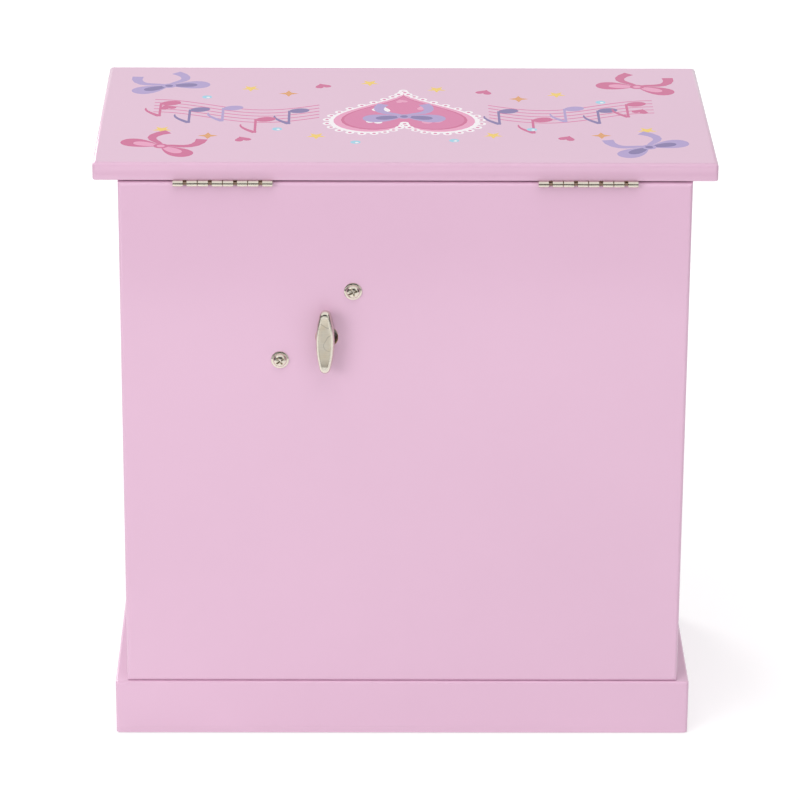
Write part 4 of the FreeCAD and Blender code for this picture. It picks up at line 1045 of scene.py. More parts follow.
@dataclass
class LidPrint:
    """A generic music design: corner bows, staves with notes, and a lace heart.

    Places are measured from the middle of the lid; the top of the print is toward the hinges.
    """

    attribute = "print"
    half_width: float
    half_depth: float
    margin: float = 11.0
    heart_size: float = 62.0
    heart_level: float = -1.0
    heart_coats: tuple[tuple[float, Ink], ...] = (
        (1.0, Ink.WHITE), (0.94, Ink.BLUSH), (0.84, Ink.MAGENTA), (0.8, Ink.ROSE))
    heart_charms: Rows = ((-11, 9, 9), (12, 10, 7), (-8, -8, 6), (9, -6, 8), (1, -17, 5))
    lace_count: int = 46
    lace_reach: float = 1.03
    lace_dot: float = 1.9
    small_dot: float = 0.8
    stave_gap: float = 4.2
    stave_line: float = 0.9
    stave_steps: int = 22
    wave_size: float = 7.0
    wave_drop: float = 3.0
    notes: Rows = ((0.12, -1), (0.32, 1), (0.52, -2), (0.72, 0), (0.9, -1))
    note_size: float = 18.0
    note_lean: float = 0.35
    bow_size: float = 30.0
    bow_steps: int = 8
    loop_lean: float = 0.22
    charm_size: float = 7.0
    bead_size: float = 2.1
    star_size: float = 4.2
    scatter: tuple[tuple[float, float, Ink], ...] = (
        (36, 30, Ink.YELLOW), (52, 21, Ink.SKY), (66, 34, Ink.MAGENTA), (48, -27, Ink.ORANGE),
        (64, -34, Ink.YELLOW), (82, -22, Ink.SKY), (98, -8, Ink.MAGENTA), (99, 22, Ink.YELLOW),
        (80, 30, Ink.ORANGE), (34, -38, Ink.MAGENTA), (20, 38, Ink.SKY), (14, -42, Ink.YELLOW))
    outlines: list[list[Flat]] = field(default_factory=list)
    inks: list[Ink] = field(default_factory=list)

    @staticmethod
    def swung(x: float, y: float, u: float, v: float, turn: float) -> Flat:
        """A point u along and v across a turned direction from (x, y)."""
        return x + u * math.cos(turn) - v * math.sin(turn), y + u * math.sin(turn) + v * math.cos(turn)

    @staticmethod
    def heart_outline(width: float, count: int) -> list[Flat]:
        """A heart's outline about its middle.

        Args:
            width: side to side.
            count: how many points.

        Returns:
            The points.
        """
        unit = width / 32
        points = []
        for t in turns(count):
            rise = 13 * math.cos(t) - 5 * math.cos(2 * t) - 2 * math.cos(3 * t) - math.cos(4 * t) + 2
            points.append((unit * 16 * math.sin(t) ** 3, unit * rise))
        return points

    def lay(self, ink: Ink, points: Iterable[Flat]) -> None:
        """Put one outline on top of the ones before, turned so that it runs against the clock.

        Args:
            ink: its colour.
            points: its corners in order.
        """
        outline = [(float(x), float(y)) for x, y in points]
        pairs = zip(outline, outline[1:] + outline[:1])
        area = sum(a[0] * b[1] - a[1] * b[0] for a, b in pairs)
        self.outlines.append(outline if area > 0 else outline[::-1])
        self.inks.append(ink)

    def dot(self, ink: Ink, x: float, y: float, radius: float, count: int = 14) -> None:
        """A round dot."""
        self.lay(ink, [(x + radius * math.cos(t), y + radius * math.sin(t)) for t in turns(count)])

    def star(self, ink: Ink, x: float, y: float, points: int, waist: float = 0.42) -> None:
        """A star with its first point up."""
        way = zip(turns(2 * points), (self.star_size, self.star_size * waist) * points)
        self.lay(ink, [(x + r * math.sin(t), y + r * math.cos(t)) for t, r in way])

    def heart(self, ink: Ink, x: float, y: float, width: float, lean: float = 0.0) -> None:
        """A heart about a point, leaning by an angle."""
        outline = self.heart_outline(width, max(20, int(width)))
        self.lay(ink, [self.swung(x, y, u, v, lean) for u, v in outline])

    def band(self, ink: Ink, line: Sequence[Flat], widths: Sequence[float]) -> None:
        """A ribbon along a line.

        Args:
            ink: its colour.
            line: points along its middle.
            widths: its width at each of them.
        """
        left, right = [], []
        for k, (x, y) in enumerate(line):
            ahead, behind = line[min(k + 1, len(line) - 1)], line[max(k - 1, 0)]
            dx, dy = ahead[0] - behind[0], ahead[1] - behind[1]
            length = math.hypot(dx, dy)
            nx, ny = -dy / length * widths[k] / 2, dx / length * widths[k] / 2
            left.append((x + nx, y + ny))
            right.append((x - nx, y - ny))
        self.lay(ink, left + right[::-1])

    def loop(self, ink: Ink, x: float, y: float, size: Flat, turn: float) -> None:
        """A drop-shaped loop of ribbon that starts at a point.

        Args:
            ink: its colour.
            x: place of its start across the lid.
            y: place of its start along the lid.
            size: its length and width.
            turn: the way that it goes, in radians.
        """
        points = []
        for t in turns(28)[1:]:
            u = size[0] * (1 - math.cos(t)) / 2
            v = size[1] * math.sin(t) * abs(math.sin(t / 2)) * 0.65
            points.append(self.swung(x, y, u, v, turn))
        self.lay(ink, points)

    def bow(self, x: float, y: float, turn: float, cloth: Ink, fold: Ink) -> None:
        """A ribbon bow with two loops, two tails and a knot.

        Args:
            x: place of its knot across the lid.
            y: place of its knot along the lid.
            turn: how far it is turned, in radians.
            cloth: colour of the ribbon.
            fold: colour of its shaded folds.
        """
        size, steps = self.bow_size, self.bow_steps
        for way, sign in ((turn, -1), (turn + math.pi, 1)):
            tail = turn - math.pi / 2 + 0.5 * sign
            line = []
            for k in range(steps + 1):
                t = k / steps
                bend = tail + 0.5 * math.sin(3.2 * t) * sign
                line.append((x + size * 0.62 * t * math.cos(bend), y + size * 0.62 * t * math.sin(bend)))
            self.band(cloth, line, [size * (0.06 + 0.1 * k / steps) for k in range(steps + 1)])
            way -= self.loop_lean * sign
            self.loop(cloth, x, y, (size * 0.58, size * 0.34), way)
            self.loop(fold, x, y, (size * 0.4, size * 0.17), way)
        self.dot(cloth, x, y, size * 0.1, 18)
        self.dot(fold, x, y, size * 0.055, 12)

    def note(self, ink: Ink, x: float, y: float) -> None:
        """An eighth note with a leaning head, a stem and a flag.

        Args:
            ink: its colour.
            x: place of its head across the lid.
            y: place of its head along the lid.
        """
        size = self.note_size
        self.lay(ink, [self.swung(x, y, size * 0.24 * math.cos(t), size * 0.17 * math.sin(t), self.note_lean)
                       for t in turns(18)])
        left, right, top = x + size * 0.2, x + size * 0.2 + size * 0.06, y + size
        self.lay(ink, ((left, y), (right, y), (right, top), (left, top)))
        shares = [k / 6 for k in range(7)]
        flag = [(left + size * 0.03 + size * 0.34 * math.sin(1.7 * t), y + size * (0.97 - 0.6 * t))
                for t in shares]
        self.band(ink, flag, [size * (0.14 - 0.11 * t) for t in shares])

    def wave(self, share: float) -> float:
        """Level of the middle stave line at a share of its way outward."""
        return self.wave_size * math.sin(math.pi * 1.5 * share) - self.wave_drop

    def draw_staves(self) -> None:
        """Five waving lines on each side of the heart, with notes on them."""
        inner, outer = self.heart_size * 0.5 + 4, self.half_width - self.margin - 9
        span = outer - inner
        shares = [k / self.stave_steps for k in range(self.stave_steps + 1)]
        for side in (1, -1):
            for row in range(-2, 3):
                line = [(side * (inner + span * t), self.wave(t) + row * self.stave_gap) for t in shares]
                self.band(Ink.ROSE, line, [self.stave_line] * len(line))
            for k, (t, row) in enumerate(self.notes):
                ink = (Ink.VIOLET, Ink.MAGENTA, Ink.LILAC)[k % 3]
                self.note(ink, side * (inner + span * t), self.wave(t) + row * self.stave_gap)

    def draw_heart(self) -> None:
        """A heart with lace round it and a small bow inside."""
        for share, ink in self.heart_coats:
            self.heart(ink, 0.0, self.heart_level, self.heart_size * share)
        for u, v in self.heart_outline(self.heart_size, self.lace_count):
            x, y = u * self.lace_reach, v * self.lace_reach + self.heart_level
            self.dot(Ink.WHITE, x, y, self.lace_dot, 10)
            self.dot(Ink.ROSE, x, y, self.small_dot, 8)
        for k, (x, y, width) in enumerate(self.heart_charms):
            self.heart((Ink.BLUSH, Ink.WHITE)[k % 2], x, y, width, 0.3 * (-1) ** k)
        self.bow(0.0, 4.0, 0.0, Ink.LILAC, Ink.VIOLET)

    def draw_scatter(self) -> None:
        """Stars, small hearts and beads over what is left."""
        for x, y, ink in self.scatter:
            for side in (1, -1):
                level = y if side > 0 else y * 0.86 + 3
                if ink is Ink.MAGENTA:
                    self.heart(ink, side * x, level, self.charm_size, 0.35 * side)
                elif ink is Ink.SKY:
                    self.dot(ink, side * x, level, self.bead_size)
                    self.dot(Ink.WHITE, side * x - 0.5, level + 0.5, self.small_dot, 8)
                else:
                    self.star(ink, side * x, level, 5 if ink is Ink.YELLOW else 4)

    def draw(self) -> None:
        """The whole design, from the back to the front."""
        wide, deep = self.half_width, self.half_depth
        self.lay(Ink.BLUSH, [(-wide, -deep), (wide, -deep), (wide, deep), (-wide, deep)])
        self.draw_staves()
        self.draw_scatter()
        self.draw_heart()
        x, y = wide - self.margin - 14, deep - self.margin - 12
        for sx, sy in ((1, 1), (-1, 1), (-1, -1), (1, -1)):
            cloth, fold = (Ink.MAGENTA, Ink.BLUSH) if sx * sy > 0 else (Ink.LILAC, Ink.VIOLET)
            lean = -0.6 * sx if sy > 0 else 0.35 * sx
            self.bow(sx * x, sy * y + 3, lean, cloth, fold)


@dataclass
class Lid:
    """Printed lid board, mirror and moulded mirror frame."""

    edge_round: float = 1.5
    foot_round: float = 0.35
    moulding: tuple[Flat, ...] = (
        (0.0, 0.0), (0.0, 1.5), (0.5, 2.3), (1.6, 2.8), (2.8, 3.0), (3.8, 2.8), (4.4, 2.3),
        (4.8, 1.9), (5.3, 2.1), (5.8, 1.8), (6.0, 1.2), (6.0, 0.0))

    def build(self) -> None:
        """The board with its print, the frame and the screws of the hinges."""
        low, high = corners("lid_panel")
        board = rounded_block(low, high, self.edge_round, self.foot_round)
        flat = [f for f in board.faces
                if f.normal.z > 0.999 and f.calc_center_median().z > high.z - NEAR]
        bmesh.ops.delete(board, geom=flat, context="FACES_ONLY")
        centre = (low + high) / 2
        design = LidPrint(high.x - centre.x - self.edge_round, high.y - centre.y - self.edge_round)
        design.draw()
        points, triangles, owners = layered_faces(design.outlines)
        ink = board.faces.layers.int.new("ink")
        verts = [board.verts.new((p.x + centre.x, p.y + centre.y, high.z)) for p in points]
        for trio, owner in zip(triangles, owners):
            board.faces.new([verts[i] for i in trio])[ink] = owner
        ride = Ride("lid", "lid_paint", LID_PAINT)
        self.ink_faces(add_bmesh("lid_board", board, ride, ["lid_panel"], 30.0).data, design)
        self.build_frame()
        HingeScrews("hinge_lid_screws", "lid_leaf_screws", "lid", 14.0, 180.0).build()

    def ink_faces(self, mesh: bpy.types.Mesh, design: LidPrint) -> None:
        """Colour the printed faces, and keep the edge crisp where the flat top ends.

        Args:
            mesh: the board's mesh, each face with the number of its outline.
            design: the print.
        """
        colours = mesh.attributes.new(LidPrint.attribute, "FLOAT_COLOR", "CORNER")
        owners = [one.value for one in mesh.attributes["ink"].data]
        for polygon, owner in zip(mesh.polygons, owners):
            colour = (*design.inks[owner].value, 1.0) if owner else (0.0, 0.0, 0.0, 0.0)
            for loop in polygon.loop_indices:
                colours.data[loop].color = colour
        top, rest = ({key for p in mesh.polygons if (p.normal.z > 0.9999) == up for key in p.edge_keys}
                     for up in (True, False))
        for edge in mesh.edges:
            if edge.key in top and edge.key in rest:
                edge.use_edge_sharp = True

    def build_frame(self) -> None:
        """A mitred moulding round the mirror."""
        low, high = corners("mirror_frame")
        rings = []
        for inset, drop in self.moulding:
            x0, y0, x1, y1 = low.x + inset, low.y + inset, high.x - inset, high.y - inset
            level = high.z - drop
            rings.append([Vector((x, y, level)) for x, y in ((x0, y0), (x1, y0), (x1, y1), (x0, y1))])
        add_shape("mirror_moulding", loft(rings, looped=True), Ride("lid", "tray_paper", TRAY_PAPER),
                  ["mirror_frame"], 25.0)

    def dress(self) -> None:
        """Silvered glass and plated hinge leaves."""
        dress(MIRROR, "lid_mirror")
        dress(NICKEL, "hinge_lid_leaves")


@dataclass
class Case:
    """Painted boards of the case and plinth, and the felt under it."""

    hole_radius: float = 4.5

    def build(self) -> None:
        """The felt sheet under the plinth and the screws of the hinges."""
        low, high = corners("base_pad")
        felt = Felt("base_felt_sheet", low, high, "case", "base_felt", BASE_FELT)
        felt.build(["base_pad"], ["plinth_rails"])
        HingeScrews("hinge_case_screws", "case_leaf_screws", "case", 7.0, 0.0).build()

    def dress(self) -> None:
        """Paint outside, and bare board where the key hole was bored."""
        key = middle("wind_key")
        bored = (key.x * MM, key.z * MM, self.hole_radius * MM)
        dress(Paint("back_paint", PINK, 0.13, bored=bored), "back_panel")
        dress(CASE_PAINT, "left_side_panel", "right_side_panel", "fascia_panel", "plinth_rails",
              "carcass_bottom", "lower_shelf", "upper_shelf")
        dress(RAW_BOARD, "movement_partition", "tray_floor")
        dress(NICKEL, "hinge_case_leaves")
        dress(PIN_STEEL, "hinge_pins")
        dress(BASE_FELT, "lid_bumpers")


@dataclass
class Felt:
    """A thin laid sheet of felt or flock, a little uneven, with soft edges."""

    name: str
    low: Vector
    high: Vector
    body: str
    slot: str
    finish: Finish
    holes: tuple[Spot, ...] = ()
    step: float = 5.0
    sag: float = 0.12
    wave: float = 0.045
    margin: float = 0.15
    edge_drop: float = 0.25
    edge_reach: float = 0.3

    def level(self, p: Vector, edge: float) -> float:
        """Height of the upper face at a point.

        Args:
            p: the point.
            edge: how far it is from the nearest edge.

        Returns:
            The height.
        """
        thick = self.high.z - self.low.z
        soft = self.edge_drop * thick * max(0.0, 1 - edge / (self.edge_reach * self.step))
        wave = noise.noise(Vector((p.x * self.wave, p.y * self.wave, self.low.z)))
        return self.high.z - soft - self.sag * (0.5 + 0.5 * wave)

    def build(self, replaces: Iterable[str], rests_on: Iterable[str]) -> Piece:
        """Make the sheet.

        Args:
            replaces: frame pieces that it stands for.
            rests_on: names of what it lies on; not used.

        Returns:
            The sheet.
        """
        x0, y0 = self.low.x + self.margin, self.low.y + self.margin
        x1, y1 = self.high.x - self.margin, self.high.y - self.margin
        wide, deep = x1 - x0, y1 - y0
        columns, rows = max(2, round(wide / self.step)), max(2, round(deep / self.step))
        outline = [(x0 + wide * i / columns, y0) for i in range(columns)]
        outline += [(x1, y0 + deep * j / rows) for j in range(rows)]
        outline += [(x1 - wide * i / columns, y1) for i in range(columns)]
        outline += [(x0, y1 - deep * j / rows) for j in range(rows)]
        rounds = [[(x + r * math.cos(t), y + r * math.sin(t)) for t in turns(24)] for x, y, r in self.holes]
        spots = [(x0 + wide * i / columns, y0 + deep * j / rows)
                 for i in range(1, columns) for j in range(1, rows)]
        points, triangles, owners = layered_faces([outline, *rounds], spots)
        kept = [one for one, owner in zip(triangles, owners) if owner == 0]
        edges = [min(p.x - x0, x1 - p.x, p.y - y0, y1 - p.y) for p in points]
        made = bmesh.new()
        upper = [made.verts.new((p.x, p.y, self.level(p, edge))) for p, edge in zip(points, edges)]
        lower = [made.verts.new((p.x, p.y, self.low.z)) for p in points]
        for a, b, c in kept:
            made.faces.new((upper[a], upper[b], upper[c]))
            made.faces.new((lower[c], lower[b], lower[a]))
        rims = [(u, v) for one in kept for u, v in zip(one, one[1:] + one[:1])]
        for u, v in set(rims) - {(b, a) for a, b in rims}:
            made.faces.new((upper[v], upper[u], lower[u], lower[v]))
        loose = [v for v in made.verts if not v.link_faces]
        bmesh.ops.delete(made, geom=loose, context="VERTS")
        sheet = add_bmesh(self.name, made, Ride(self.body, self.slot, self.finish), replaces, 50.0)
        return sheet


@dataclass
class RingRolls:
    """Row of foam rolls under flocked cloth that grip rings between them."""

    count: int = 7
    gap: float = 0.4
    swell_start: float = 0.9
    swell_cap: float = 1.3
    pressure: float = 4.0
    stiffness: float = 0.3
    held_height: float = 1.2
    frames: int = 20
    sim_scale: float = 0.02
    voxel: float = 1.9
    foot_power: float = 3.2
    crown_power: float = 2.3
    stations: int = 36
    end_round: float = 5.0
    end_share: float = 0.55
    pucker_reach: float = 9.0
    pucker_depth: float = 0.18
    pucker_count: int = 11
    dent_depth: float = 0.16
    sink: float = 0.1
    keep_off: Spot = (0.02, 0.06, 0.0)
    seed_step: float = 1.7

    def outline(self, half: float, tall: float, count: int = 40) -> list[Flat]:
        """Section of one roll: flat below, drawn-in sides and a round crown.

        Args:
            half: half its width.
            tall: its height.
            count: how many points.

        Returns:
            The points.
        """
        points = []
        for t in turns(count):
            x, y = math.cos(t), math.sin(t)
            power = self.foot_power if y < 0 else self.crown_power
            reach = (abs(x) ** power + abs(y) ** power) ** (-1 / power)
            points.append((half * reach * x, tall / 2 + tall / 2 * reach * y))
        return points

    def blank(self, low: Vector, high: Vector) -> Shape:
        """The roll before it swells, a little small all round.

        Args:
            low: lowest corner of its space.
            high: highest corner of its space.

        Returns:
            The roll.
        """
        half, tall = (high.y - low.y) / 2 - self.swell_start, high.z - low.z - self.swell_start
        length = high.x - low.x - 2 * self.swell_start
        mid = (low.y + high.y) / 2
        section = self.outline(half, tall)
        rings = []
        for k in range(self.stations + 1):
            t = k / self.stations
            end = min(1.0, min(t, 1 - t) * length / self.end_round)
            shrink = self.end_share + (1 - self.end_share) * math.sqrt(max(0.0, 1 - (1 - end) ** 2))
            x = low.x + self.swell_start + length * t
            rings.append([Vector((x, mid + y * shrink, low.z + z * shrink)) for y, z in section])
        return loft(rings)

    def remesh(self, piece: Piece) -> None:
        """Even small faces all over, for the simulation.

        Args:
            piece: the roll.
        """
        cells = piece.modifiers.new("cells", "REMESH")
        cells.mode = "VOXEL"
        cells.voxel_size = self.voxel * MM
        shaped = keep_result(piece, cells)
        shaped.name = piece.name
        if not shaped.materials:
            shaped.materials.append(ROLL_VELVET.make())

    def swell(self, piece: Piece, floor: float) -> None:
        """Blow the cloth out like foam pushing from inside, with the bottom held still.

        Args:
            piece: the roll.
            floor: level of its bottom.
        """
        scale = self.sim_scale / MM
        mesh = piece.data
        mesh.transform(Matrix.Scale(scale, 4))
        held = piece.vertex_groups.new(name="held")
        top = (floor + self.held_height) * self.sim_scale
        held.add([v.index for v in mesh.vertices if v.co.z < top], 1.0, "REPLACE")
        starts = [v.co.copy() for v in mesh.vertices]
        cloth = piece.modifiers.new("swell", "CLOTH")
        cloth.settings.vertex_group_mass = held.name
        cloth.settings.use_pressure = True
        cloth.settings.uniform_pressure_force = self.pressure
        cloth.settings.effector_weights.gravity = 0.0
        cloth.settings.quality = 5
        cloth.settings.bending_stiffness = self.stiffness
        cloth.point_cache.frame_end = self.frames
        scene = bpy.context.scene
        for step in range(1, self.frames + 1):
            scene.frame_set(step)
        swelled = piece.evaluated_get(bpy.context.evaluated_depsgraph_get()).to_mesh()
        ends = [v.co.copy() for v in swelled.vertices]
        piece.modifiers.remove(cloth)
        piece.vertex_groups.remove(held)
        cap = self.swell_cap * self.sim_scale
        for vertex, a, b in zip(mesh.vertices, starts, ends):
            move = b - a
            vertex.co = a + move * min(1.0, cap / max(move.length, 1e-9))
        mesh.transform(Matrix.Scale(1 / scale, 4))
        scene.frame_set(1)

    def crease(self, mesh: bpy.types.Mesh, low: Vector, high: Vector, seed: float) -> None:
        """Puckers at the ends and small dents, kept inside the roll's own space.

        Args:
            mesh: the roll's mesh.
            low: lowest corner of its space.
            high: highest corner of its space.
            seed: makes this roll differ from the others.
        """
        mid = (low + high) / 2
        keep = Vector(self.keep_off)
        for vertex in mesh.vertices:
            spot = vertex.co / MM
            end = min(spot.x - low.x, high.x - spot.x)
            pucker = max(0.0, 1 - end / self.pucker_reach)
            turn = math.atan2(spot.z - mid.z, spot.y - mid.y)
            dent = self.pucker_depth * pucker * math.sin(self.pucker_count * turn + seed)
            dent += self.dent_depth * noise.noise(Vector((spot.x * 0.11, turn * 1.3, seed)))
            moved = spot + Vector((0, math.cos(turn), math.sin(turn))) * (dent - self.sink)
            inside = (min(max(moved[i], low[i] + keep[i]), high[i] - keep[i]) for i in range(3))
            vertex.co = Vector(inside) * MM

    def lay_copy(self, roll: Piece, master: bpy.types.Mesh, spots: Iterable[Vector]) -> None:
        """Give a roll a copy of the first one's mesh.

        Args:
            roll: the roll.
            master: the first roll's mesh.
            spots: where the copy's points go.
        """
        mesh = master.copy()
        for vertex, spot in zip(mesh.vertices, spots):
            vertex.co = spot
        old, roll.data = roll.data, mesh
        bpy.data.meshes.remove(old)
        mesh.name = roll.name

    def build(self) -> None:
        """Swell one roll and lay copies of it side by side, every other one turned end for end."""
        low, high = corners("ring_rolls")
        step = (high.y - low.y + self.gap) / self.count
        ride = Ride("case", "roll_velvet", ROLL_VELVET)
        for k in range(self.count):
            near = Vector((low.x, low.y + k * step, low.z))
            far = Vector((high.x, low.y + (k + 1) * step - self.gap, high.z))
            roll = add_shape(f"ring_roll_{k + 1}", self.blank(near, far), ride, ["ring_rolls"])
            if k == 0:
                self.remesh(roll)
                self.swell(roll, near.z)
                master = roll.data
                points = [v.co.copy() for v in master.vertices]
            else:
                aside = (near.y - low.y) * MM
                if k % 2:
                    ends = (low.x + high.x) * MM
                    self.lay_copy(roll, master, [Vector((ends - p.x, p.y + aside, p.z)) for p in points])
                    roll.data.flip_normals()
                else:
                    self.lay_copy(roll, master, [Vector((p.x, p.y + aside, p.z)) for p in points])
            self.crease(roll.data, near, far, self.seed_step * k)
            soft = roll.modifiers.new("soft", "SUBSURF")
            soft.levels = soft.render_levels = 1


@dataclass
class Tray:
    """Dividers, felt and ring rolls under the lid."""

    divider: float = 3.0
    divider_round: float = 0.9
    divider_foot: float = 0.1
    stage_reach: float = 19.0
    spindle_hole: float = 2.0
    wire_hole: float = 1.3
    wire_radius: float = 0.8

    def build(self) -> None:
        """Every covered or soft piece of the tray."""
        low, high = corners("tray_dividers")
        spindle = middle("drive_spindle")
        cross = spindle.y - self.stage_reach
        half = self.divider / 2
        side = low.x + self.divider
        across = Vector((side, cross - half, low.z)), Vector((high.x, cross + half, high.z))
        boards = {"long_divider": (low, Vector((side, high.y, high.z))), "cross_divider": across}
        for name, (near, far) in boards.items():
            board = rounded_block(near, far, self.divider_round, self.divider_foot)
            add_bmesh(name, board, Ride("case", "tray_paper", TRAY_PAPER), ["tray_dividers"])
        bottom, top = corners("tray_lining")
        wire = corners("stop_wire")[1]
        holes = ((spindle.x, spindle.y, self.spindle_hole),
                 (wire.x - self.wire_radius, wire.y - self.wire_radius, self.wire_hole))
        well = Felt("well_felt", bottom, Vector((top.x, cross - half, top.z)), "case", "velvet", VELVET)
        stage_low = Vector((bottom.x, cross + half, bottom.z))
        stage = Felt("stage_felt", stage_low, top, "case", "velvet", VELVET, holes)
        for felt in (well, stage):
            felt.build(["tray_lining"], ["tray_floor"])
        RingRolls().build()


class Level(Enum):
    """The three drawers."""

    BOTTOM = "bottom_drawer"
    MIDDLE = "middle_drawer"
    TOP = "top_drawer"


@dataclass
class Drawer:
    """One drawer: painted front, turned knobs, bare walls and a flocked lining."""

    level: Level
    knob_spread: float = 52.0
    knob: tuple[Flat, ...] = (
        (0.0, -5.0), (2.75, -5.0), (2.75, 0.0), (4.5, 0.0), (4.5, 0.6), (4.2, 1.05), (3.4, 1.3),
        (2.85, 1.8), (2.6, 2.4), (2.65, 2.9), (3.0, 3.4), (4.3, 4.1), (5.3, 5.2), (5.85, 6.5),
        (6.0, 7.6), (5.85, 8.8), (5.35, 10.1), (4.5, 11.4), (3.4, 12.4), (2.0, 13.15), (0.9, 13.42),
        (0.0, 13.5))

    def build(self) -> None:
        """Knobs and lining."""
        name = self.level.value
        low, high = corners(f"{name}_front")
        mid = (low.z + high.z) / 2
        shape = Shape()
        for x in (-self.knob_spread, self.knob_spread):
            shape.join(lathe(smooth_row(self.knob, 3), Matrix.Translation((x, low.y, mid)) @ TO_FRONT))
        ride = Ride(name, "knob_plastic", KNOB_PLASTIC)
        add_shape(f"{name}_pulls", shape, ride, [f"{name}_knobs"], 35.0)
        felt = Felt(f"{name}_felt", *corners(f"{name}_lining"), name, "velvet", VELVET)
        felt.build([f"{name}_lining"], [f"{name}_bottom"])

    def dress(self) -> None:
        """Paint on the front, bare board behind it."""
        name = self.level.value
        dress(FRONT_PAINT, f"{name}_front")
        dress(RAW_BOARD, f"{name}_walls", f"{name}_bottom")


@dataclass
class WindingKey:
    """Cast key with a boat-shaped grip and a sunk face.

    The neck has shares of the grip's length at levels from the hub. The rim and the sunk face have
    insets and drops from the top, and the face also how far its ends are cut off from the middle.
    """

    length: float = 27.1
    lift: float = 0.25
    width: float = 7.5
    tip: float = 2.25
    lean: float = 0.8
    reach: float = 8.0
    hub: Rows = ((3.0, 0.0), (3.2, 0.2), (3.2, 1.2))
    neck: Rows = ((0.42, 1.6), (0.62, 2.2), (0.8, 2.8), (0.93, 3.3))
    rim: Rows = ((0.25, 3.1), (0.05, 2.6), (0.0, 2.0), (0.03, 1.5), (0.12, 1.05), (0.28, 0.66),
                 (0.5, 0.32), (0.78, 0.08), (1.05, 0.0), (1.15, 0.0))
    face: Rows = ((1.22, 0.02, 10.5), (1.34, 0.22, 10.3), (1.5, 0.28, 10.1), (2.2, 0.3, 6.775))
    end_inset: float = 3.4
    crowding: float = 0.62
    face_drop: float = 0.15
    count: int = 96

    def boat(self, size: Flat, tip: float, height: float, cut: float = 99.0) -> list[Vector]:
        """A boat outline at a height: two long arcs that run into two small end arcs.

        Args:
            size: end to end, and across the middle.
            tip: radius of the ends.
            height: level of the outline.
            cut: how far from the middle the ends are cut off straight.

        Returns:
            Points round it, closer together at the ends.
        """
        reach, swell = size[0] / 2 - tip, size[1] / 2 - tip
        centre = (reach ** 2 - swell ** 2) / (2 * swell)
        side = centre + swell + tip
        lean = self.lean * height / self.reach
        points = []
        for turn in turns(self.count):
            t = turn + self.crowding * math.sin(2 * turn) / 2
            x, y = math.cos(t), math.sin(t)
            root = centre * abs(x)
            out = -root + math.sqrt(root ** 2 + side ** 2 - centre ** 2)
            if abs(y) * out > reach * side / (side - tip):
                out = reach * abs(y) + math.sqrt(max(0.0, tip ** 2 - (reach * x) ** 2))
            points.append(Vector((x * out + lean, max(-cut, min(cut, y * out)), height)))
        return points

    def inset(self, amount: float) -> Flat:
        """Length and width of the grip, drawn in by an amount."""
        return self.length - self.end_inset * amount, self.width - 2 * amount

    def build(self) -> None:
        """Hub, neck, grip with rounded rim, and the sunk face."""
        low, high = corners("wind_key")
        spot = middle("wind_key") + Vector((0.0, 0.0, self.lift))
        spot.y = low.y
        top = high.y - low.y
        rings = [oval(Vector((0, 0, level)), radius, radius, self.count) for radius, level in self.hub]
        for share, level in self.neck:
            size = (self.length * share, self.width * (0.86 + 0.1 * share))
            rings.append(self.boat(size, self.tip, level))
        for inset, drop in self.rim:
            rings.append(self.boat(self.inset(inset), self.tip - inset * 0.5, top - drop))
        for inset, drop, cut in self.face:
            rings.append(self.boat(self.inset(inset), self.tip * 0.5, top - drop, cut))
        shape = Shape().join(loft(rings), Matrix.Translation(spot) @ TO_BACK)
        grip = add_shape("key_grip", shape, Ride("key_train", "key_nickel", KEY_RIM), ["wind_key"], 32.0)
        grip.data.materials.append(KEY_NICKEL.make())
        for polygon in grip.data.polygons:
            sunk = polygon.center.y < (high.y - self.face_drop) * MM
            polygon.material_index = int(polygon.normal.y > 0.9 and sunk)


@dataclass
class MountScrews:
    """The two flanged button-head screws that hold the movement."""

    spots: tuple[Flat, ...] = ((-10.6, 19.7), (19.0, -9.9))
    head: float = 3.65
    flange: tuple[Flat, ...] = ((0.0, 0.0), (0.0, 0.25), (0.06, 0.38), (0.2, 0.46), (0.7, 0.55), (0.8, 0.55))
    shoulder: float = 0.55
    dome: float = 2.2
    dome_steps: int = 12
    dome_power: float = 0.7
    shank: float = 1.5
    button: float = 2.82
    slot: float = 0.8
    reach: float = 2.3
    floor: float = 0.45
    clear: float = 0.3
    head_turns: tuple[float, ...] = (24.0, 38.0)

    def profile(self, depth: float) -> list[Flat]:
        """Shank, flat underside, flange and dome.

        Args:
            depth: length of the shank.

        Returns:
            Points of radius and height.
        """
        points = [(0.0, -depth), (self.shank, -depth), (self.shank, 0.0)]
        points += [(self.head - inset, level) for inset, level in self.flange]
        for k in range(1, self.dome_steps + 1):
            t = math.pi / 2 * k / self.dome_steps
            rise = (self.dome - self.shoulder) * math.sin(t)
            points.append((self.button * math.cos(t) ** self.dome_power, self.shoulder + rise))
        return points

    def build(self) -> None:
        """Turn both screws and sink a cross in each head."""
        key = middle("wind_key")
        low = corners("movement_screws")[0]
        face = corners("back_panel")[1].y
        ride = Ride("case", "nickel", NICKEL)
        span = (self.dome * self.floor, self.dome + self.clear)
        for k, ((x, z), turn) in enumerate(zip(self.spots, self.head_turns)):
            place = Matrix.Translation((key.x + x, face, key.z + z)) @ TO_BACK
            turned = lathe(self.profile(face - low.y), place)
            screw = add_shape(f"mount_screw_{k + 1}", turned, ride, ["movement_screws"], 30.0)
            cut_cross(screw, [place @ spin(turn)], (self.reach, self.slot), span)


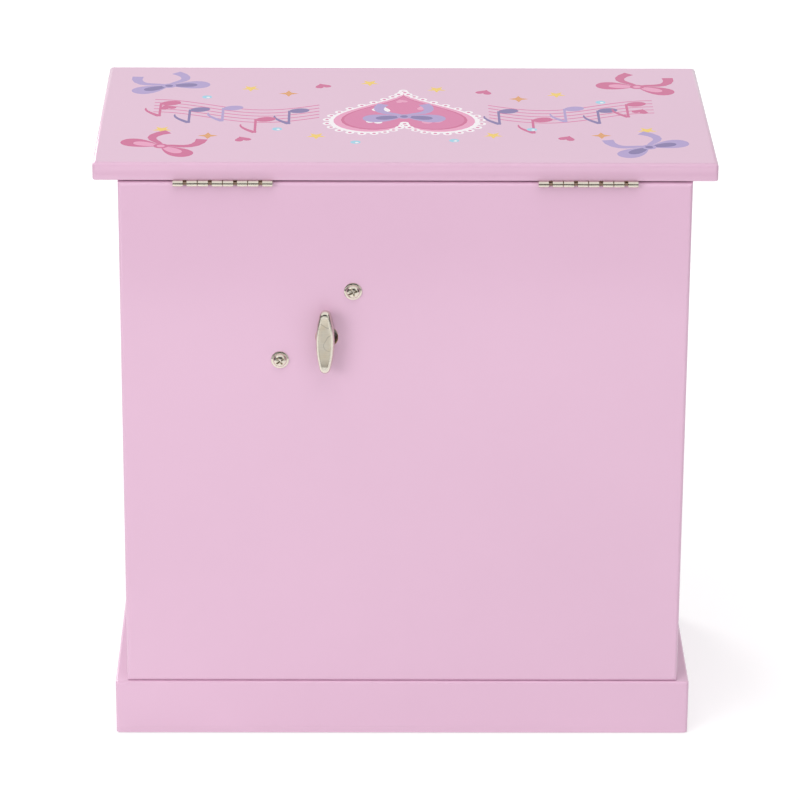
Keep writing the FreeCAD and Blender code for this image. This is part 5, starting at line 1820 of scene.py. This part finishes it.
@dataclass
class Movement:
    """The wind-up movement behind the top drawer."""

    def build(self) -> None:
        """The outside parts that are seen: key and screws."""
        WindingKey().build()
        MountScrews().build()

    def dress(self) -> None:
        """Metal or nylon for every inner part."""
        dress(ZINC, "movement_bedplate", "spring_housing", "governor_bracket")
        dress(SPRING_STEEL, "mainspring", "tone_comb", "stop_wire", "dancer_spring", "winding_arbor",
              "drive_spindle", "governor_worm")
        dress(NICKEL, "comb_screws")
        dress(BRASS, "great_wheel", "pinned_drum", "worm_wheel")
        dress(NYLON, "drive_pinion", "governor_fan")


@dataclass
class Dancer:
    """Small moulded dancer on a spring, arms raised, in a net skirt.

    The tables are in hundredths of the figure's height: limbs of one side as (x, y, z, radius), and
    bodies as level ovals (height, half width, half depth, forward).
    """

    leg: Rows = ((1.5, 0.2, 5, 1.2), (1.6, 0.3, 11, 1.45), (2.0, 0.8, 18, 2.4), (2.0, 0.5, 24, 2.2),
                 (2.1, -0.1, 28, 2.15), (2.7, 0.0, 35, 2.9), (3.3, 0.1, 45, 3.6))
    shoe: Rows = ((1.4, -0.1, 1.9, 0.9), (1.4, -0.2, 3.0, 1.25), (1.45, -0.3, 5.5, 1.6),
                  (1.5, 0.3, 8.4, 1.75), (1.55, 0.5, 9.6, 1.6))
    ribbons: Rows = ((10.6, 0.5), (12.4, -0.5), (14.0, 0.5))
    ribbon_thick: float = 0.32
    arm: Rows = ((5.6, 0.2, 65.0, 1.9), (8.6, 0, 65.4, 1.9), (13.6, -0.6, 69.5, 1.7),
                 (16.4, -1.0, 76.5, 1.5), (15.6, -1.4, 85.0, 1.35), (11.0, -1.7, 92.0, 1.1),
                 (6.2, -1.8, 95.6, 0.95), (3.6, -1.9, 96.6, 0.9), (1.3, -2.0, 96.7, 0.45))
    thumb: Rows = ((5.2, -2.3, 95.8, 0.4), (4.0, -3.0, 95.2, 0.36), (3.0, -3.4, 94.9, 0.25))
    strap: Rows = ((4.2, -4.2, 62.4, 0.5), (4.5, -3.0, 65.4, 0.5), (4.4, 0, 66.9, 0.5),
                   (4.2, 2.8, 65.4, 0.5), (3.9, 4.0, 62.2, 0.5))
    ear: Rows = ((5.7, 0.6, 80.4, 0.5), (6.2, 0.7, 79.2, 0.8), (5.7, 0.4, 77.7, 0.5))
    stand: Rows = ((0, 0), (7.6, 0), (8.6, 0.35), (9.0, 1.0), (8.8, 1.7), (8.0, 2.2), (5.0, 2.5), (0, 2.6))
    torso: Rows = ((58, 5.0, 3.9, 0.3), (62, 5.9, 4.4, 0.5), (65, 6.3, 3.9, 0.2), (66.6, 5.6, 3.2, 0.0),
                   (67.8, 3.4, 2.7, -0.1), (69, 2.5, 2.4, 0.0), (72.5, 2.3, 2.3, 0.2), (74, 2.4, 2.4, 0.3))
    bodice: Rows = ((43.5, 6.9, 5.3, 0.0), (46, 7.1, 5.5, 0.0), (49, 6.0, 4.8, 0.1), (52.5, 4.9, 4.1, 0.2),
                    (56, 5.2, 4.3, 0.4), (60, 6.2, 4.9, 0.7), (62.6, 6.5, 5.0, 0.6), (63.2, 6.3, 4.6, 0.5))
    head_level: float = 79.0
    head_size: Spot = (6.1, 6.5, 7.5)
    chin_slim: float = 0.2
    chin_ahead: float = 0.5
    nose: Rows = ((0.0, 1.6, 0.3), (0.0, 0.0, 0.5), (0.0, -1.3, 0.75), (0.0, -1.9, 0.45))
    mouth: Rows = ((-1.2, -3.5, 0.12), (-0.5, -3.35, 0.3), (0, -3.45, 0.3), (0.5, -3.35, 0.3),
                   (1.2, -3.5, 0.12))
    folds: int = 18
    fold_points: int = 10
    skirt_radius: float = 10.0
    skirt_level: float = 48.5
    skirt_steps: int = 9
    waist: float = 6.6
    net_thick: float = 0.05

    def __post_init__(self) -> None:
        """Find where the figure stands and how tall it is."""
        low, high = corners("dancer_figure")
        self.unit = (high.z - low.z) / 100
        spindle = middle("drive_spindle")
        self.foot = Vector((spindle.x, spindle.y, low.z))

    def at(self, x: float, y: float, z: float) -> Vector:
        """A point on the figure from hundredths of its height."""
        return self.foot + Vector((x, y, z)) * self.unit

    def limb(self, points: Rows, side: int, flat: float = 1.0) -> Shape:
        """A tapering limb on one side, from its table."""
        rows = [(*self.at(side * x, y, z), r * self.unit) for x, y, z, r in points]
        return tube(rows, 6, 18, flat)

    def stack(self, rows: Rows) -> Shape:
        """A body of level ovals, from its table."""
        return loft([oval(self.at(0, -ahead, z), across * self.unit, deep * self.unit, 36)
                     for z, across, deep, ahead in smooth_row(rows, 4)])

    def hang(self, name: str, shape: Shape, finish: Finish, replaces: Iterable[str] = ()) -> Piece:
        """Hang one part of the figure on the spindle."""
        return add_shape(name, shape, Ride("spindle_train", "dancer_plastic", finish), replaces, 50.0)

    def build(self) -> None:
        """Legs and shoes, body, head, arms, dress."""
        legs, shoes, arms = Shape(), Shape(), Shape()
        bodice = self.stack(self.bodice)
        for side in (1, -1):
            legs.join(self.limb(self.leg, side))
            shoes.join(self.limb(self.shoe, side))
            for level, tilt in self.ribbons:
                shoes.join(self.ribbon(level, tilt, side))
            arms.join(self.limb(self.arm, side, 0.86))
            arms.join(self.limb(self.thumb, side))
            bodice.join(self.limb(self.strap, side, 0.5))
        stand = lathe(self.stand, Matrix.Translation(self.foot) @ Matrix.Scale(self.unit, 4))
        self.hang("dancer_legs", legs, TIGHTS, ["dancer_figure"])
        self.hang("dancer_shoes", shoes.join(stand), SATIN, ["dancer_figure"])
        arms.join(self.stack(self.torso)).join(self.head())
        self.hang("dancer_arms", arms, SKIN, ["dancer_figure"])
        self.hang("dancer_bodice", bodice, SATIN, ["dancer_figure"])
        self.hang("dancer_hairdo", self.hair(), HAIR, ["dancer_figure"])
        self.hang("dancer_lashes", self.lashes(), FACE_BROWN)
        self.hang("dancer_lips", self.drawn(self.mouth, 0.0, 10), FACE_ROSE)
        self.build_skirt()

    def ribbon(self, level: float, tilt: float, side: int) -> Shape:
        """One turn of a shoe's ribbon round the ankle.

        Args:
            level: its height.
            tilt: how far it rises to one side.
            side: which foot, 1 or -1.

        Returns:
            The ribbon.
        """
        reach = 1.62 + 0.1 * (level - 10)
        points = []
        for t in (*turns(18), 2 * math.pi):
            spot = self.at(side * 1.65 + reach * math.cos(t), 0.35 + reach * math.sin(t),
                           level + side * tilt * math.cos(t))
            points.append((*spot, self.ribbon_thick * self.unit))
        return tube(points, 1, 8)

    def head_ring(self, level: float) -> Spot:
        """Half width, half depth and forward push of the head at a level from -1 to 1.

        Args:
            level: the level, 0 at the middle.

        Returns:
            The three measures.
        """
        low = max(0.0, -level)
        ring = math.sqrt(1 - level ** 2)
        slim = 1 - self.chin_slim * low
        return self.head_size[0] * ring * slim, self.head_size[1] * ring * slim, self.chin_ahead * low

    def face(self, x: float, z: float, lift: float = 0.0) -> Vector:
        """A point on the front of the head.

        Args:
            x: hundredths to the side of its middle.
            z: hundredths above its middle.
            lift: hundredths that it stands off the face.

        Returns:
            The point.
        """
        level = max(-0.99, min(0.99, z / self.head_size[2]))
        across, deep, ahead = self.head_ring(level)
        share = max(-0.98, min(0.98, x / across))
        return self.at(x, -(deep * math.sqrt(1 - share ** 2) + lift) - ahead, self.head_level + z)

    def drawn(self, rows: Sequence[Sequence[float]], lift: float, count: int) -> Shape:
        """A thin line drawn on the face through (x, z, radius) points."""
        return tube([(*self.face(x, z, lift), r * self.unit) for x, z, r in rows], 4, count)

    def head(self) -> Shape:
        """A smooth doll's head with a small nose and ears.

        Returns:
            The head.
        """
        rings = []
        for k in range(1, 24):
            level = math.cos(math.pi * k / 24)
            across, deep, ahead = self.head_ring(level)
            centre = self.at(0, -ahead, self.head_level + self.head_size[2] * level)
            rings.append(oval(centre, across * self.unit, deep * self.unit, 36))
        shape = loft(rings).join(self.drawn(self.nose, 0.1, 12))
        for side in (1, -1):
            shape.join(self.limb(self.ear, side, 0.6))
        return shape

    def lashes(self) -> Shape:
        """Closed eyes and brows, calm.

        Returns:
            The four lines.
        """
        shape = Shape()
        for side in (1, -1):
            eye = [(side * (1.3 + 2.1 * t), 0.5 - 0.5 * math.sin(math.pi * t), 0.2)
                   for t in (0, 0.25, 0.5, 0.75, 1)]
            brow = [(side * (1.2 + 2.5 * t), 2.5 + 0.5 * math.sin(math.pi * t), 0.14)
                    for t in (0, 0.33, 0.66, 1)]
            shape.join(self.drawn(eye, 0.05, 8)).join(self.drawn(brow, 0.05, 8))
        return shape

    def hair(self) -> Shape:
        """Hair combed back into a wound bun.

        Returns:
            The hair.
        """
        combed = self.cap(self.at(0, 0, self.head_level), Vector((6.5, 6.95, 7.9)),
                          Vector((0, 0.62, 0.78)), 104, 30, 0.012)
        bun = self.cap(self.at(0, 5.5, 85), Vector((4.0, 3.4, 3.6)),
                       Vector((0, 0.5, 0.86)), 179, 5, 0.05, 2.6)
        return combed.join(bun)

    def cap(self, centre: Vector, radii: Vector, pole: Vector, reach: float, ridges: int, depth: float,
            twist: float = 0.0) -> Shape:
        """Part of an egg round a pole, with combed or twisted ridges.

        Args:
            centre: middle of the egg.
            radii: its half sizes in hundredths.
            pole: direction of the middle of the cap.
            reach: how far the cap goes from its pole, in degrees.
            ridges: ridges round the cap.
            depth: ridge depth as a share of the radius.
            twist: how far the ridges wind on their way down.

        Returns:
            The closed cap.
        """
        pole = pole.normalized()
        side = Vector((1, 0, 0))
        ahead = pole.cross(side)
        rings = []
        for k in range(1, 17):
            t = math.radians(reach) * k / 16
            ring = []
            for a in turns(96):
                swell = 1 + depth * math.sin(ridges * a + twist * t * 2) * math.sin(t)
                way = pole * math.cos(t) + (side * math.cos(a) + ahead * math.sin(a)) * math.sin(t)
                ring.append(centre + Vector(way[j] * radii[j] for j in range(3)) * swell * self.unit)
            rings.append(ring)
        return loft(rings)

    def build_skirt(self) -> None:
        """Net folded double at the hem and gathered at the waist."""
        steps = [k / self.skirt_steps for k in range(self.skirt_steps + 1)]
        upper = [(t, 1.0, 0.0) for t in steps]
        under = [(t, -1.0, 0.5) for t in steps[-2::-1]]
        waist = self.waist * self.unit
        flare = self.skirt_radius - waist
        rings = []
        for t, face, phase in upper + under:
            lift = face * (0.5 * self.unit + 0.35 * math.sin(math.pi * t))
            radius = waist + flare * t
            ring = []
            for a in turns(self.folds * self.fold_points):
                fold = math.sin(self.folds * a + math.pi * phase * t)
                out = radius * (1 - 0.035 * t * (1 - fold))
                z = self.skirt_level * self.unit - 1.15 * t ** 1.6 + lift + 0.42 * t * fold
                ring.append(self.foot + Vector((out * math.cos(a), out * math.sin(a), z)))
            rings.append(ring)
        ride = Ride("spindle_train", "tulle", TULLE)
        skirt = add_shape("dancer_tutu", loft(rings, capped=False), ride, ["dancer_skirt"], 80.0)
        thick = skirt.modifiers.new("net_thickness", "SOLIDIFY")
        thick.thickness = self.net_thick * MM


@dataclass(frozen=True)
class SoftBox:
    """A square studio light: place and size in metres, power in watts."""

    name: str
    spot: Spot
    size: float
    power: float
    in_gloss: bool = True
    aim: Spot = (0.0, 0.0, 0.12)

    def build(self) -> None:
        """Hang the light, turned to the middle of the box."""
        data = bpy.data.lights.new(self.name, "AREA")
        data.size = self.size
        data.energy = self.power
        lamp = put_in(self.name, data)
        lamp.location = self.spot
        way = Vector(self.aim) - Vector(self.spot)
        lamp.rotation_euler = way.to_track_quat("-Z", "Y").to_euler()
        lamp.visible_glossy = self.in_gloss


@dataclass
class Studio:
    """Plain pale floor, soft light and the camera of the photograph, in metres."""

    eye: Spot = (0.0198, 1.65145, 0.7818)
    lens: float = 189.0
    sensor: float = 36.0
    clip: Flat = (0.05, 50.0)
    yaw: float = -0.652
    pitch: float = 21.6485
    roll: float = 0.339
    floor_half: float = 6.0
    floor_grey: float = 0.6
    floor_glow: float = 0.55
    flag_grey: float = 0.02
    flag_level: float = 0.002
    flag_depth: float = 0.4
    sweep_edge: float = 0.6
    sweep_side: float = 0.65
    room: Flat = (2.6, 1.6)
    room_foot: float = 0.004
    surround: float = 0.42
    boxes: tuple[SoftBox, ...] = (
        SoftBox("key_box", (2.75, 3.0, 1.45), 2.0, 61.0),
        SoftBox("fill_box", (-1.3, 1.5, 0.7), 1.2, 4.0),
        SoftBox("front_box", (1.2, -1.6, 1.0), 1.0, 19.0),
        SoftBox("top_box", (0.0, 0.8, 1.9), 1.5, 14.0, in_gloss=False))

    def build(self) -> None:
        """Floor, lights and camera."""
        self.floor()
        self.lights()
        self.camera()
        view = bpy.context.scene.view_settings
        view.view_transform = "Standard"
        view.look = "None"

    def stage(self, name: str, spots: Sequence[Spot], faces: Sequence[tuple[int, ...]]) -> Piece:
        """A sheet of the studio, which isn't part of the box.

        Args:
            name: its name.
            spots: its points.
            faces: its faces.

        Returns:
            The sheet.
        """
        mesh = bpy.data.meshes.new(name)
        mesh.from_pydata(spots, [], faces)
        made = put_in(name, mesh)
        return made

    def sheet(self, name: str, low: Flat, high: Flat, level: float) -> Piece:
        """A level sheet between two corners."""
        spots = [(x, y, level) for x, y in (low, (high[0], low[1]), high, (low[0], high[1]))]
        return self.stage(name, spots, [(0, 1, 2, 3)])

    def curtain(self) -> Piece:
        """A dark half round behind the camera, from the floor up, such as an unlit room gives.

        Returns:
            The curtain.
        """
        radius, top = self.room
        spots = [(radius * math.cos(a), radius * math.sin(a), z)
                 for a in (math.radians(d) for d in range(-5, 186, 10)) for z in (self.room_foot, top)]
        faces = [(i, i + 2, i + 3, i + 1) for i in range(0, len(spots) - 2, 2)]
        return self.stage("dark_curtain", spots, faces)

    def plain(self, name: str, grey: float) -> bpy.types.Material:
        """A plain grey material for the studio.

        Args:
            name: its name.
            grey: its lightness.

        Returns:
            The material.
        """
        made = bpy.data.materials.new(name)
        made.use_nodes = True
        made.node_tree.nodes["Principled BSDF"].inputs["Base Color"].default_value = (grey, grey, grey, 1.0)
        return made

    def floor(self) -> None:
        """A pale floor, and dark flags that only gloss can see, where the white sweep ends."""
        half = self.floor_half
        ground = self.sheet("floor", (-half, -half), (half, half), 0.0)
        pale = self.plain("floor_white", self.floor_grey)
        shader = pale.node_tree.nodes["Principled BSDF"]
        shader.inputs["Roughness"].default_value = 0.9
        shader.inputs["Specular IOR Level"].default_value = 0.1
        shader.inputs["Emission Color"].default_value = (1.0, 1.0, 1.0, 1.0)
        kit = Kit(pale.node_tree)
        soft = kit.add("LightPath").outputs["Is Diffuse Ray"]
        glow = kit.remap(soft, (0.0, 1.0), (self.floor_glow, self.floor_glow / 3))
        kit.feed(shader.inputs["Emission Strength"], glow)
        ground.data.materials.append(pale)
        black = self.plain("flag_black", self.flag_grey)
        edge, side, far = self.sweep_edge, self.sweep_side, self.room[0]
        back = edge + self.flag_depth
        flags = [self.sheet("dark_flag_back", (-side, edge), (side, back), self.flag_level), self.curtain(),
                 self.sheet("dark_flag_left", (side, -far), (far, back), self.flag_level),
                 self.sheet("dark_flag_right", (-far, -far), (-side, back), self.flag_level)]
        for flag in flags:
            flag.data.materials.append(black)
            flag.visible_camera = False
            flag.visible_diffuse = False
            flag.visible_shadow = False
            flag.visible_transmission = False

    def lights(self) -> None:
        """An even white surround and four soft boxes."""
        world = bpy.data.worlds.new("white_surround")
        world.use_nodes = True
        surround = world.node_tree.nodes["Background"]
        surround.inputs["Color"].default_value = (1.0, 1.0, 1.0, 1.0)
        kit = Kit(world.node_tree)
        soft = kit.add("LightPath").outputs["Is Diffuse Ray"]
        kit.feed(surround.inputs["Strength"], kit.remap(soft, (0.0, 1.0), (1.0, self.surround)))
        bpy.context.scene.world = world
        for box in self.boxes:
            box.build()

    def camera(self) -> None:
        """The photograph's viewpoint."""
        yaw, pitch, roll = (math.radians(a) for a in (self.yaw, self.pitch, self.roll))
        level = math.cos(pitch)
        ahead = Vector((math.sin(yaw) * level, -math.cos(yaw) * level, -math.sin(pitch)))
        right = Vector((-math.cos(yaw), -math.sin(yaw), 0))
        up = right.cross(ahead)
        across = math.cos(roll) * right + math.sin(roll) * up
        upright = -math.sin(roll) * right + math.cos(roll) * up
        data = bpy.data.cameras.new("camera")
        data.lens = self.lens
        data.sensor_width = self.sensor
        data.clip_start, data.clip_end = self.clip
        viewer = put_in("camera", data)
        turn = Matrix((across, upright, -ahead)).transposed().to_4x4()
        viewer.matrix_world = Matrix.Translation(self.eye) @ turn
        bpy.context.scene.camera = viewer


def main() -> None:
    """Build and dress every sub-assembly, then the studio."""
    logging.basicConfig(level=logging.INFO, format="%(name)s %(message)s")
    drawers = [Drawer(level) for level in Level]
    for assembly in (Case(), Lid(), *drawers, Movement()):
        assembly.build()
        assembly.dress()
    Tray().build()
    Dancer().build()
    Studio().build()


if __name__ == "__main__":
    main()
